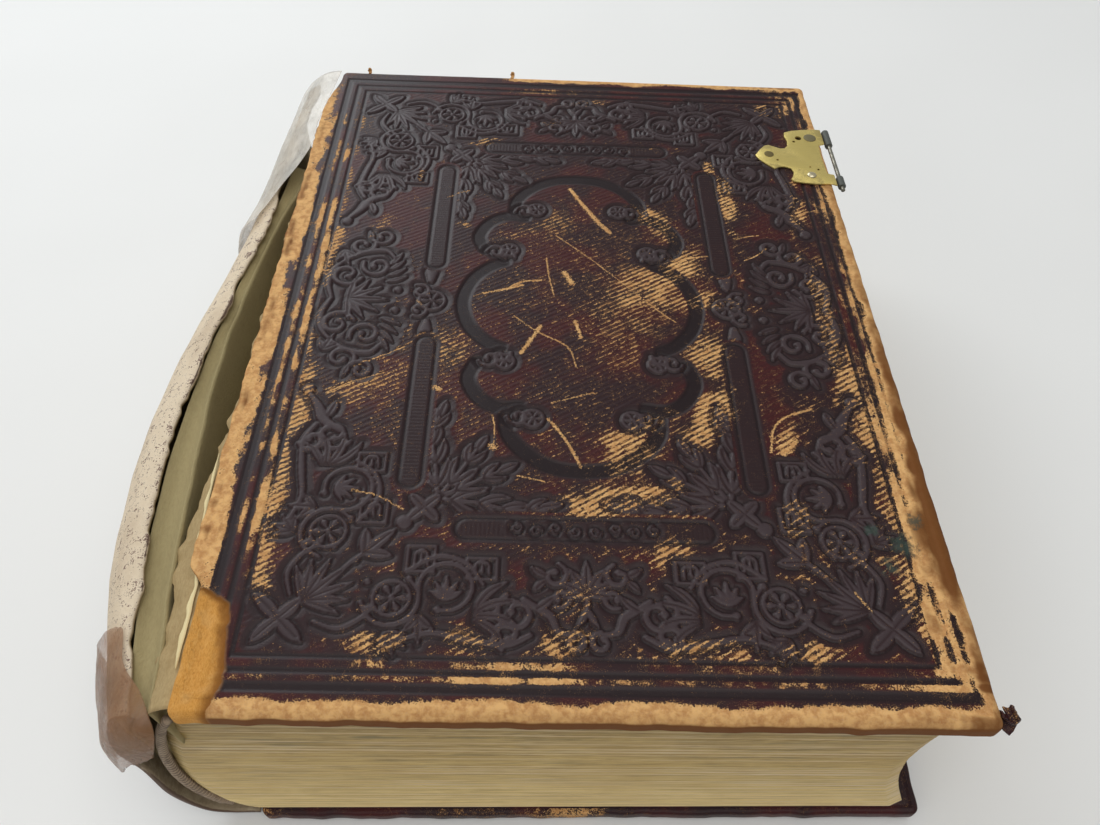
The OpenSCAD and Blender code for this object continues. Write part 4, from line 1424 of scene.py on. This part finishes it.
    def nail(self, name: str, u: float, v: float, radius: float, rise: float) -> Piece:
        """Return the domed head of one nail."""
        bpy.ops.mesh.primitive_uv_sphere_add(segments=24, ring_count=12, radius=1.0, location=(0, 0, 0))
        obj = Bench.take(name)
        p = Bench.points(obj)
        high = np.where(p[:, 2] > 0, rise, 0.5)
        out = np.column_stack([u + radius * p[:, 0], v + radius * p[:, 1],
                               self.seat + self.thick + 0.05 + high * p[:, 2]])
        Bench.move_points(obj, out * MM)
        bpy.ops.object.shade_smooth()
        Bench.note(obj, rim=1 - smooth(p[:, 2], 0.0, 0.5))
        self.lay(obj)
        return obj


@dataclass(frozen=True)
class Tatters:
    """Scraps of leather that curl off the front cover's corner and head edge."""

    leather: Finish

    def build(self) -> None:
        """Make the scraps."""
        self.scrap("corner_scrap_low", (227.5, 2.0, 3.2), 40, 7.5, 6.5, 2.6, 0.35)
        self.scrap("corner_scrap_high", (229.0, 4.0, 6.0), 10, 5.0, 5.5, 1.9, 0.5)
        self.scrap("head_scrap_left", (13.0, 320.6, 5.6), 95, 3.5, 1.4, 1.5, 0.9)
        self.scrap("head_scrap_right", (83.0, 320.6, 5.6), 80, 4.5, 1.6, 1.8, 0.9)

    def scrap(self, name: str, root: tuple[float, float, float], lean: float, length: float, width: float,
              curl: float, rub: float) -> None:
        """Make one scrap that starts at root, heads away at lean degrees and curls up."""
        c, n = math.cos(math.radians(lean)), math.sin(math.radians(lean))

        def shape(s: Array, t: Array) -> Array:
            turn = s * length / curl
            out, up = curl * np.sin(turn), curl * (1 - np.cos(turn))
            side = (t - 0.5) * width * (1 - 0.55 * s) + 0.5 * unrest(s * 4, t * 3, 1.0, 251)
            return BOOK.front(root[0] + out * c - side * n, root[1] + out * n + side * c,
                              root[2] + up * 0.7 + 0.4 * unrest(s * 3, t * 5, 1.0, 252))

        obj = Bench.grid(name, 18, 8, shape)
        Bench.thicken(obj, 0.7, 0.0)
        Bench.outward(obj)
        note_plain(obj, tool=0.3, rub=rub)
        dress(obj, self.leather)
        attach(obj, "front_cover")


# ---------------------------------------------------------------- the leaves

@dataclass(frozen=True)
class BlockForm:
    """The curves that the gilded leaf block and the skins on its back follow."""

    x_back: float = -115.0
    x_fore: float = 108.0
    z_low: float = 9.05
    z_high: float = 89.55
    half_l: float = 155.0
    round_d: float = 16.0
    hollow_d: float = 8.0

    def top(self, x: Array) -> Array:
        """Return the height of the block's sloping top at x."""
        return self.z_high - (x - BOOK.spine_x) * math.tan(BOOK.tilt)

    def height(self, x: Array, t: Array) -> Array:
        """Return the height at x of the leaf that is the share t up the block."""
        return self.z_low + t * (self.top(x) - self.z_low)

    def back(self, t: Array) -> Array:
        """Return x of the rounded back at the share t."""
        return self.x_back - self.round_d * np.sin(math.pi * np.clip(t, 0, 1) ** 0.66) ** 0.6

    def fore(self, t: Array) -> Array:
        """Return x of the hollow fore edge at the share t."""
        return self.x_fore - self.hollow_d * np.sin(math.pi * t)


FORM = BlockForm()


@dataclass(frozen=True)
class LeafBlock:
    """The twelve sewn sections, each a bundle of leaves with gilded edges."""

    count: int = 12
    rows: int = 36
    leaves: int = 11
    corner: float = 2.2
    across: float = 226.0

    def build(self) -> None:
        """Make every section."""
        gilt = GiltEdge().make()
        for k in range(self.count):
            piece = self.section(k)
            dress(piece, gilt)
            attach(piece, "leaf_block")
            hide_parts(f"section_{self.count - k:02d}")

    def outline(self, s: Array, t: Array) -> tuple[Array, Array]:
        """Return x and y at the share s round the block, counted from the middle of the fore edge."""
        half, r = FORM.half_l, self.corner
        fore, back = FORM.fore(t), FORM.back(t)
        across = fore - back
        legs = np.array([half, self.across, 2 * half, self.across, half])
        marks = np.concatenate([[0], np.cumsum(legs)]) / legs.sum()
        f = [np.clip((s - marks[i]) / (marks[i + 1] - marks[i]), 0, 1) for i in range(5)]
        x = fore - across * f[1] + across * f[3]
        y = half * f[0] - 2 * half * f[2] + half * f[4]
        near_x = np.minimum(fore - x, x - back)
        near_y = half - np.abs(y)
        pull = np.maximum(0.0, r - np.maximum(near_x, near_y)) / r
        shift = 0.3 * r * pull ** 2
        x = x - np.sign(x) * shift * (near_x < r)
        y = y - np.sign(y) * shift * (near_y < r)
        return x, y

    def section(self, k: int) -> Piece:
        """Return section k, counted from the bottom."""
        chance = np.random.default_rng(700 + k)
        offset = chance.uniform(-0.10, 0.10, self.rows + 1)
        lean = chance.uniform(-0.12, 0.12, 2)
        around = 168

        def shape(s: Array, t: Array) -> Array:
            row = np.rint(t * (self.rows + 2)).astype(int) - 1
            cap = (row < 0) | (row > self.rows)
            inner = np.clip(row, 0, self.rows)
            share = (k + inner / self.rows) / self.count
            x, y = self.outline(s, share)
            layer = np.abs(np.sin(math.pi * inner / self.rows * self.leaves))
            fuzz = offset[inner] * (0.5 + 0.5 * unrest(s * 60, inner * 0.31, 1.0, 71 + k))
            ridge = 0.16 * (layer - 0.5) + fuzz
            ridge = np.where((inner == 0) | (inner == self.rows), -0.22, ridge)
            fore_side = smooth(x, 90, 104)
            off_end = np.abs(y) <= FORM.half_l - 0.4
            x = x + np.sign(x) * (ridge + lean[0] * 0.6) * off_end * fore_side
            end = np.abs(y) > FORM.half_l - 3
            bulge = 3.0 * (1 - share) ** 1.2 * smooth(-y, 90, 150)
            y = y + np.sign(y) * (ridge + lean[1] * 0.6) * end - bulge
            z = FORM.height(x, share) + 0.10 * unrest(x, y, 30, 90)
            middle = -4.0
            x, y = np.where(cap, middle, x), np.where(cap, 0.0, y)
            z = np.where(cap, FORM.height(np.full_like(x, middle), share), z)
            z = np.where(inner == 0, z + 0.012, z)
            return np.column_stack([x, y, z])

        obj = Bench.grid(f"gilded_section_{k + 1:02d}", around, self.rows + 2, shape)
        Bench.weld(obj, 0.004)
        Bench.shade(40)
        p = Bench.points(obj) / MM
        level = (p[:, 2] - FORM.z_low) / (FORM.top(p[:, 0]) - FORM.z_low)
        Bench.note(obj, level=level, layer=np.full(len(p), chance.uniform(0, 1)))
        return obj


@dataclass(frozen=True)
class TurningLeaves:
    """The loose leaves at both ends of the block, each laid along its cover."""

    front: tuple[str, ...] = ("front_flyleaf", "front_blank_leaf", "frontispiece_leaf", "title_leaf",
                              "preface_leaf", "contents_leaf")
    back: tuple[str, ...] = ("back_flyleaf", "back_blank_leaf")
    pitch: float = 0.85
    thick: float = 0.32
    first: float = -0.62
    root: float = 1.5
    width: float = 220.3
    fore_x: float = 107.4

    def build(self) -> None:
        """Make the leaves of both ends."""
        marbled = MarbledPaper().make()
        papers = [AgedPaper(f"leaf_paper_{k}", tint=tint).make() for k, tint in enumerate(
            ((0.70, 0.58, 0.38), (0.64, 0.52, 0.33), (0.72, 0.61, 0.42)))]
        for k, node in enumerate(self.front):
            self.leaf(node, k, BOOK.front, (-0.1125, 0, 0.095), (-0.096, 0, 0.095),
                      marbled if k == 0 else papers[k % 3])
        for k, node in enumerate(self.back):
            self.leaf(node, k, BOOK.back, (-0.1125, 0, 0.008), (-0.096, 0, 0.008),
                      marbled if k == 0 else papers[k])

    def leaf(self, node: str, k: int, place: Callable, start: tuple, end: tuple,
             paper: Finish) -> None:
        """Make the leaf that stands for node, the k-th from its cover."""
        z0 = self.first - k * self.pitch
        fore = self.root + self.width
        lines_u = np.concatenate([[self.root, 1.8], np.linspace(3, fore - 1.5, 60), [fore - 0.25, fore]])
        lines_v = np.concatenate([[5.0, 5.25], np.linspace(6.5, 313.5, 70), [314.75, 315.0]])

        def shape(s: Array, t: Array) -> Array:
            u = lines_u[np.rint(s * (len(lines_u) - 1)).astype(int)]
            v = lines_v[np.rint(t * (len(lines_v) - 1)).astype(int)]
            edge = smooth(u, 170, 221)
            wave = 0.13 * unrest(u, v, 38, 120 + k) * smooth(u, 20, 80)
            wave = wave + 0.06 * unrest(u, v, 9, 140 + k) * edge
            u = u + 0.25 * unrest(v, v * 0 + k * 7.0, 60, 160 + k) * edge
            near_end = smooth(np.abs(v - BOOK.half_l), 140, 155)
            v = v + 0.2 * unrest(u, u * 0 + k * 5.0, 60, 180 + k) * near_end
            return place(u, v, z0 + wave)

        obj = Bench.grid(f"{node}_sheet", len(lines_u) - 1, len(lines_v) - 1, shape)
        if place == BOOK.back:
            Bench.flip(obj)
        Bench.thicken(obj, self.thick, 0.0)
        Bench.weld(obj, 0.004)
        Bench.shade(40)
        p = Bench.points(obj) / MM
        rim = np.minimum(FORM.half_l - np.abs(p[:, 1]), self.fore_x - p[:, 0])
        Bench.note(obj, gilt=1 - smooth(rim, 0.05, 0.35))
        dress(obj, paper)
        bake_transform(obj)
        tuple(start)
        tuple(end)
        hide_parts(node)


# ---------------------------------------------------------------- the spine

@dataclass(frozen=True)
class TornSpine:
    """The spine leather, torn from the front cover. It bellies out between its two taped ends."""

    thick: float = 1.3
    half_l: float = 158.0
    middle: tuple[tuple[float, float], ...] = (
        (-2.0, 1.2), (-15, 3), (-27, 10), (-37, 26), (-42.5, 45), (-44, 62), (-42, 76), (-36, 87.5),
        (-29, 93.8), (-21.6, 95.7))
    ends: tuple[tuple[float, float], ...] = (
        (-2.0, 1.2), (-12, 2.4), (-19, 7), (-23.5, 20), (-25, 40), (-25.5, 60), (-24.5, 76), (-21, 87),
        (-17, 93), (-11.6, 95.3))

    def build(self) -> None:
        """Make the torn leather and what is left inside it, and dress the skins on the back."""
        flap = self.skin("torn_spine_leather", 0.0, 1.0, self.half_l, 0.0, self.thick, 240)
        self.note_leather(flap)
        dress(flap, PeeledLeather().make())
        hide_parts("spine_leather")
        card = self.skin("spine_card_liner", 0.30, 0.965, 150.0, 1.5, 1.0, 120)
        dress(card, RawBoard("spine_board", (0.34, 0.27, 0.145), (0.16, 0.115, 0.055)).make())
        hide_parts("spine_card")
        olive = RawBoard("hollow_paper", (0.44, 0.365, 0.19), (0.31, 0.245, 0.12)).make()
        hollow = self.standing("torn_hollow_paper", self.hollow_point, 0.35)
        dress(hollow, olive)
        ledge = self.standing("torn_joint_lining", self.ledge_point, 0.5)
        dress(ledge, RawBoard("joint_glue", (0.56, 0.43, 0.23), (0.27, 0.175, 0.070)).make())
        sliver = self.standing("torn_paper_sliver", self.sliver_point, 0.2)
        dress(sliver, AgedPaper("sliver_paper", (0.74, 0.62, 0.34), (0.50, 0.36, 0.14)).make())
        for piece in (flap, card, hollow, ledge, sliver):
            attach(piece, "leaf_block")
        dress(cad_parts["spine_hollow"], olive)
        dress(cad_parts["spine_lining"], GluedCloth("back_lining").make())
        tape = GluedCloth("sewing_tape", (0.42, 0.37, 0.26), (0.25, 0.19, 0.10), 0.7).make()
        for k in range(1, 6):
            dress(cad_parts[f"sewing_tape_{k}"], tape)

    @staticmethod
    def belly(v: Array) -> Array:
        """Return how far the leather bellies out at v, from 0 at the ends to 1."""
        return np.interp(v, [0, 5, 16, 32, 52, 67, 91, 114, 143, 190, 228, 277, 318],
                         [0, 0.07, 0.30, 0.60, 0.92, 1.05, 1.18, 1.18, 1.06, 0.62, 0.30, 0.12, 0])

    def skin(self, name: str, low: float, high: float, half: float, inset: float, thick: float,
             along: int) -> Piece:
        """Return a skin along the leather.

        Args:
            name: name of the piece.
            low: share of the leather's run where it starts.
            high: share where it ends.
            half: half its length.
            inset: how far inside the leather's middle it lies.
            thick: its thickness.
            along: cells along it.

        Returns:
            The new piece.
        """
        knots = [rounded_path(path, 6) for path in (self.ends, self.middle)]
        runs = [np.concatenate([[0], np.cumsum(np.hypot(*np.diff(k, axis=0).T))]) for k in knots]

        def shape(s: Array, t: Array) -> Array:
            y = (2 * t - 1) * half
            ragged = 0.010 * unrest(y, y * 0, 15, 201) + 0.005 * unrest(y, y * 0, 3.4, 202)
            share = low + s * (high + ragged - 0.012 - low)
            w = self.belly(y + BOOK.half_l)
            spot = []
            for c in (0, 1):
                a, b = (np.interp(share * run[-1], run, knot[:, c]) for run, knot in zip(runs, knots))
                spot.append(a * (1 - w) + b * w)
            loose = smooth(share, 0.35, 1.0)
            wave = 1.0 * unrest(y, share * 40, 44, 203) + 0.4 * unrest(y, share * 60, 12, 204)
            bent = smooth(share, 0.55, 0.75)
            x = spot[0] + inset * (1 - 0.45 * bent) + wave * 0.6 * loose
            z = np.maximum(spot[1] - inset * 0.8 * bent + inset * 0.6 * (share < 0.15), 0.9)
            y = y + 0.8 * unrest(share * 50, share * 0, 9, 205) * smooth(np.abs(y), half - 8, half)
            return np.column_stack([BOOK.spine_x + x, y, z])

        obj = Bench.grid(name, 72, along, shape)
        Bench.thicken(obj, thick, 0.0)
        Bench.outward(obj)
        return obj

    @staticmethod
    def note_leather(obj: Piece) -> None:
        """Note the leather's height, its side and its torn edge for the finish."""
        p = Bench.points(obj) / MM
        count = len(p) // 2
        first = p[:count, 0].mean() > p[count:, 0].mean()
        side = np.where((np.arange(len(p)) < count) == first, 1.0, 0.0)
        edge = smooth(p[:, 2], 95.7, 96.2) * smooth(p[:, 0], BOOK.spine_x - 34, BOOK.spine_x - 27)
        ends = smooth(np.abs(p[:, 1]), 155.5, 158) * 0.8
        Bench.note(obj, rise=smooth(p[:, 2], 8, 86), side=side, brink=np.maximum(edge, ends))

    @staticmethod
    def standing(name: str, point: Callable[[Array, Array], Array], thick: float) -> Piece:
        """Return a torn sheet whose points are given by a share across it and v."""
        obj = Bench.grid(name, 24, 200, lambda s, t: point(s, 3 + 255 * t))
        Bench.thicken(obj, thick, 0.0)
        return obj

    @staticmethod
    def hollow_point(s: Array, v: Array) -> Array:
        """Return a point of the paper hollow, which sags from the leather to its torn wall."""
        edge = -13.6 - 11.0 * TornSpine.belly(v)
        x = np.interp(v, [0, 20, 36, 73, 117, 150, 203, 258],
                      [-7, -8.5, -11.3, -15, -18.5, -18.5, -14, -5])
        x = x + 0.25 * unrest(v, v * 0, 8, 221)
        gap = x - edge
        sag = np.clip(s / 0.6, 0, 1)
        down = np.clip((s - 0.6) / 0.4, 0, 1)
        across = edge + 0.5 + (gap - 0.5) * sag + down * 2.0
        top = 95.0 - 2.0 * smooth(v, 200, 258)
        z = top - 1.0 - 0.8 * (1 - sag) ** 4 - (1.0 + 0.22 * gap) * np.sin(math.pi * sag)
        z = z + 0.9 * sag - 24 * down + 0.35 * unrest(v, s * 20, 22, 222)
        x = BOOK.spine_x + across + 0.3 * unrest(v, z, 14, 223)
        return np.column_stack([x, v - BOOK.half_l, z])

    @staticmethod
    def sliver_point(s: Array, v: Array) -> Array:
        """Return a point of the pale sliver that curls along the bare corner of the front cover."""
        v = 14 + (v - 3) / 255 * 74
        x = np.interp(v, [14, 24, 40, 56, 70, 88], [-0.9, -0.9, -1.4, -4.6, -5.4, -6.4])
        wide = np.interp(v, [14, 22, 34, 48, 62, 80, 88], [0.3, 1.5, 1.5, 1.0, 1.2, 0.9, 0.2])
        wide = wide * (1 + 0.3 * unrest(v, v * 0, 3, 241))
        z = 99.2 + 1.2 * s - 1.6 * s * s + 0.3 * unrest(v, s * 3, 5, 242)
        return np.column_stack([BOOK.spine_x + x - wide * s, v - BOOK.half_l, z])

    @staticmethod
    def ledge_point(s: Array, v: Array) -> Array:
        """Return a point of the glued lining left along the front cover's torn joint."""
        wide = np.interp(v, [0, 12, 45, 62, 85, 120, 240, 258], [5.0, 8.0, 8.5, 7.5, 4.0, 2.6, 2.2, 0.6])
        wide = wide + 0.8 * unrest(v, v * 0, 5, 231) + 0.5 * unrest(v, v * 0, 1.7, 232)
        x = 0.4 - np.interp(v, [0, 36, 46, 240, 258], [0.0, 0.2, 3.6, 3.6, 1.0]) - (wide + 1.4) * s
        z = 98.6 - 3.2 * s ** 1.6 - 2.0 * s * smooth(wide, 5, 8) + 0.5 * unrest(v, s * 9, 4, 233)
        return np.column_stack([BOOK.spine_x + x, v - BOOK.half_l, z])


@dataclass(frozen=True)
class EndBand:
    """A wrapped cord along the rounded back at one end of the block."""

    name: str
    node: str
    y: float
    radius: float = 1.5

    def build(self) -> None:
        """Make the cord."""
        count, sides = 150, 10
        t = np.linspace(0.02, 0.985, count + 1)
        x = FORM.back(t) - 1.0
        z = FORM.height(x, t)
        line = np.column_stack([x, np.full_like(x, self.y), z])
        step = np.gradient(line, axis=0)
        step /= np.linalg.norm(step, axis=1)[:, None]
        run = np.concatenate([[0], np.cumsum(np.linalg.norm(np.diff(line, axis=0), axis=1))])
        out = np.column_stack([step[:, 2], step[:, 1] * 0, -step[:, 0]])
        flat = np.array([0.0, 1.0, 0.0])
        held: dict[str, Array] = {}

        def shape(s: Array, u: Array) -> Array:
            i = np.rint(s * (count + 2)).astype(int) - 1
            cap = (i < 0) | (i > count)
            i = np.clip(i, 0, count)
            turn = 2 * math.pi * u
            lump = 1 + 0.10 * np.sin(run[i] * THREAD_RATE + turn) + 0.05 * unrest(run[i], turn, 5, 301)
            radius = np.where(cap, 0.0, self.radius * lump)[:, None]
            held.update(run=run[i], round=u)
            return line[i] + radius * (np.cos(turn)[:, None] * out[i] + np.sin(turn)[:, None] * flat)

        obj = Bench.grid(self.name, count + 2, sides, shape)
        Bench.note(obj, **held)
        Bench.weld(obj, 0.004)
        dress(obj, TwistedCord(f"{self.name}_thread").make())
        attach(obj, "leaf_block")
        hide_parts(self.node)


@dataclass(frozen=True)
class Mend:
    """A strip of clear tape pressed over the torn edge of the spine at one end.

    The net holds its control points, row by row along the book, as x from the spine edge, v and z.
    """

    name: str
    node: str
    net: tuple[tuple[tuple[float, float, float], ...], ...]
    tint: Colour
    cover: float
    crumple: float = 0.2

    def build(self) -> None:
        """Make the strip."""
        rows = np.array([rounded_path(row, 12) for row in self.net])
        fine = np.array([rounded_path(rows[:, k], 16) for k in range(rows.shape[1])])
        across, along = fine.shape[0] - 1, fine.shape[1] - 1

        def shape(s: Array, t: Array) -> Array:
            p = fine[np.rint(s * across).astype(int), np.rint(t * along).astype(int)].copy()
            x, y, z = p.T
            fold = unrest(x * 1.2 + z, y, 9, 401) + 0.4 * unrest(z, y * 1.1, 3, 402)
            push = self.crumple * fold
            fray = 0.8 * unrest(s * 40, s * 0, 3, 403) * ((t < 0.01) | (t > 0.99))
            return p + np.column_stack([BOOK.spine_x - push, fray - BOOK.half_l, push])

        obj = Bench.grid(self.name, across, along, shape)
        Bench.thicken(obj, 0.12, 1.0)
        dress(obj, MendingTape(f"{self.name}_film", self.tint, self.cover).make())
        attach(obj, "leaf_block")
        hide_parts(self.node)


HEAD_NET = (
    ((-22.5, 212, 96.4), (-24, 212, 95.8), (-26.5, 212, 94.2),
     (-30, 212, 90), (-34, 212, 80), (-35.8, 212, 70)),
    ((-14, 234, 98.5), (-17, 234, 97.5), (-21, 234, 95.4),
     (-26, 234, 90.8), (-31.4, 234, 80), (-33, 234, 64)),
    ((-5.8, 256, 100.9), (-10.5, 256, 99.8), (-17, 256, 97),
     (-23.8, 256, 91.5), (-30, 256, 80), (-31.8, 256, 60)),
    ((-5.1, 278, 101.2), (-9, 278, 100.4), (-15, 278, 98),
     (-22.8, 278, 91.5), (-28.8, 278, 80), (-30.4, 278, 58)),
    ((-3.0, 300, 101.3), (-7, 300, 100.6), (-13, 300, 98.5),
     (-21, 300, 92), (-27.6, 300, 80), (-29.2, 300, 58)),
    ((-0.8, 321.5, 101.3), (-5.4, 321.5, 100.6), (-12, 321, 98.5),
     (-20, 320, 92), (-26.4, 319, 80), (-28, 318, 58)),
)
TAIL_NET = (
    ((-21, 28, 96.6), (-23, 28, 95.8), (-26.8, 28, 93.8),
     (-31.6, 28, 88.2), (-35.6, 28, 78), (-37.4, 28, 64)),
    ((-17.5, 17, 96.8), (-20, 17, 95.8), (-24.4, 16.5, 93),
     (-28.8, 16, 87), (-32.4, 16, 78), (-34, 16, 62)),
    ((-10, 8, 96.4), (-15, 7, 96.0), (-20.2, 6.5, 93.4),
     (-24.8, 6, 87.5), (-28.0, 6, 78), (-29.8, 6, 62)),
    ((-5.5, 0, 93.4), (-11, -0.6, 94.2), (-16.8, -0.8, 92),
     (-22.2, -0.8, 86.5), (-25.8, -0.5, 77), (-27.4, 0, 62)),
    ((-6, -3, 88), (-11, -3.4, 87.4), (-15.4, -3.6, 85),
     (-20.0, -3.6, 81), (-23.6, -3, 74), (-25.6, -2.4, 63)),
    ((-9, -3.6, 80), (-12.5, -4.2, 77.5), (-15.4, -4.4, 75.5),
     (-18.6, -4.2, 73.5), (-21.6, -3.6, 70), (-24.2, -2.8, 64)),
)


def build_mends() -> None:
    """Put the two tapes on the spine."""
    Mend("head_mend", "repair_tape_head", HEAD_NET, (0.76, 0.70, 0.60), 0.44, 0.12).build()
    Mend("tail_mend", "repair_tape_tail", TAIL_NET, (0.34, 0.175, 0.085), 0.46, 0.30).build()


@dataclass(frozen=True)
class Joints:
    """The paper strips inside the joints, each on a cover's inner face along its spine edge."""

    def build(self) -> None:
        """Make the strips."""
        paper = AgedPaper("joint_paper", tint=(0.56, 0.44, 0.27)).make()
        self.strip("front_joint_strip", BOOK.front,
                   paper)
        self.strip("back_joint_strip", BOOK.back,
                   paper)

    def strip(self, name: str, place: Callable,
              paper: Finish) -> None:
        """Make one strip that lies on the cover's inner face along its spine edge."""

        def shape(s: Array, t: Array) -> Array:
            u = 0.2 + 15.0 * s
            v = 14 + 292 * t
            return place(u, v, -0.22 - 0.06 * smooth(u, 0, 6) + 0.03 * unrest(u, v, 7, 501))

        obj = Bench.grid(name, 24, 60, shape)
        if place == BOOK.back:
            Bench.flip(obj)
        Bench.thicken(obj, 0.12, 0.0)
        dress(obj, paper)
        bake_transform(obj)


# ---------------------------------------------------------------- stage

@dataclass(frozen=True)
class Stage:
    """Pale sheet floor, soft lights and the camera."""

    eye: tuple[float, float, float] = (-5.61, -246.01, 333.57)
    yaw: float = -0.0303168
    pitch: float = 0.8887693
    roll: float = -0.0344305
    lens: float = 29.127

    def build(self) -> None:
        """Make the floor, the lights and the camera."""
        self.floor()
        self.light("window", (-0.9, 1.5, 1.15), (0.0, 0.05, 0.08), 1.5, 1.1, 21.0, (0.93, 0.97, 1.0))
        self.light("ceiling", (0.15, -0.45, 1.9), (0.0, 0.0, 0.05), 1.7, 1.7, 18.5, (1.0, 0.985, 0.96))
        self.light("room", (-1.5, -1.2, 0.9), (0.0, 0.0, 0.05), 1.3, 1.3, 5.0, (1.0, 0.97, 0.93))
        world = bpy.data.worlds.new("room_light")
        world.use_nodes = True
        sky = world.node_tree.nodes["Background"]
        sky.inputs["Color"].default_value = (0.86, 0.88, 0.90, 1.0)
        sky.inputs["Strength"].default_value = 0.36
        bpy.context.scene.world = world
        bpy.context.scene.view_settings.view_transform = "Standard"
        self.camera()

    @staticmethod
    def floor() -> None:
        """Make the sheet that the book lies on, rising behind it."""
        bend_y = 560

        def shape(s: Array, t: Array) -> Array:
            x, y = (s - 0.5) * 3600, -1300 + 2600 * t
            past = np.maximum(0.0, y - bend_y) / 900
            z = 560 * (1 - np.sqrt(np.clip(1 - past ** 2, 0, 1)))
            away = smooth(np.hypot(x, y), 180, 320)
            fold = 0.9 * unrest(x, y, 60, 601) + 0.35 * unrest(x + y, x - y, 26, 602)
            return np.column_stack([x, y, z - 0.9 - 0.7 * away + fold * away])

        obj = Bench.grid("sheet_floor", 180, 130, shape)
        dress(obj, PlainGround().make())

    @staticmethod
    def light(name: str, where: tuple, to: tuple, w: float, h: float, power: float,
              tint: Colour) -> None:
        """Add one soft light that faces a point."""
        bpy.ops.object.light_add(type="AREA", location=where)
        lamp = bpy.context.object
        lamp.name = name
        lamp.data.shape, lamp.data.size, lamp.data.size_y = "RECTANGLE", w, h
        lamp.data.energy, lamp.data.color = power, tint
        lamp.rotation_euler = (Vector(to) - Vector(where)).to_track_quat("-Z", "Y").to_euler()

    def camera(self) -> None:
        """Set the camera."""
        bpy.ops.object.camera_add(location=(0, 0, 0))
        camera = bpy.context.object
        camera.name = "view"
        camera.data.lens, camera.data.sensor_width = self.lens, 36.0
        camera.data.clip_start, camera.data.clip_end = 0.01, 50.0
        cp, sp = math.cos(self.pitch), math.sin(self.pitch)
        ahead = Vector((math.sin(self.yaw) * cp, math.cos(self.yaw) * cp, -sp))
        side = Vector((math.cos(self.yaw), -math.sin(self.yaw), 0))
        up = side.cross(ahead)
        cr, sr = math.cos(self.roll), math.sin(self.roll)
        right, top = side * cr + up * sr, up * cr - side * sr
        turn = Matrix((right, top, -ahead)).transposed().to_4x4()
        camera.matrix_world = Matrix.Translation(Vector(self.eye) * MM) @ turn
        bpy.context.scene.camera = camera


def dress_boards() -> None:
    """Give the boards and the pastedowns their finishes."""
    raw = RawBoard("mill_board").make()
    for name in ("front_board", "back_board"):
        dress(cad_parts[name], raw)
    marbled = MarbledPaper("marbled_pastedown").make()
    for name in ("front_pastedown", "back_pastedown"):
        dress(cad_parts[name], marbled)


def main() -> None:
    """Build the whole book and its stage."""
    logging.basicConfig(level=logging.INFO, format="%(name)s: %(message)s")
    leather = WornLeather("worn_cover_leather").make()
    StampedCover("front_leather", "front_cover", "front_cover_leather", BOOK.front, Wear.FRONT,
                 leather, 0.5).build()
    StampedCover("back_leather", "back_cover", "back_cover_leather", BOOK.back, Wear.BACK,
                 leather, 0.8).build()
    Tatters(leather).build()
    dress_boards()
    Clasp().build()
    LeafBlock().build()
    TurningLeaves().build()
    TornSpine().build()
    EndBand("head_band_cord", "headband", 156.2).build()
    EndBand("tail_band_cord", "tailband", -156.2).build()
    build_mends()
    Joints().build()
    Stage().build()


if __name__ == "__main__":
    main()
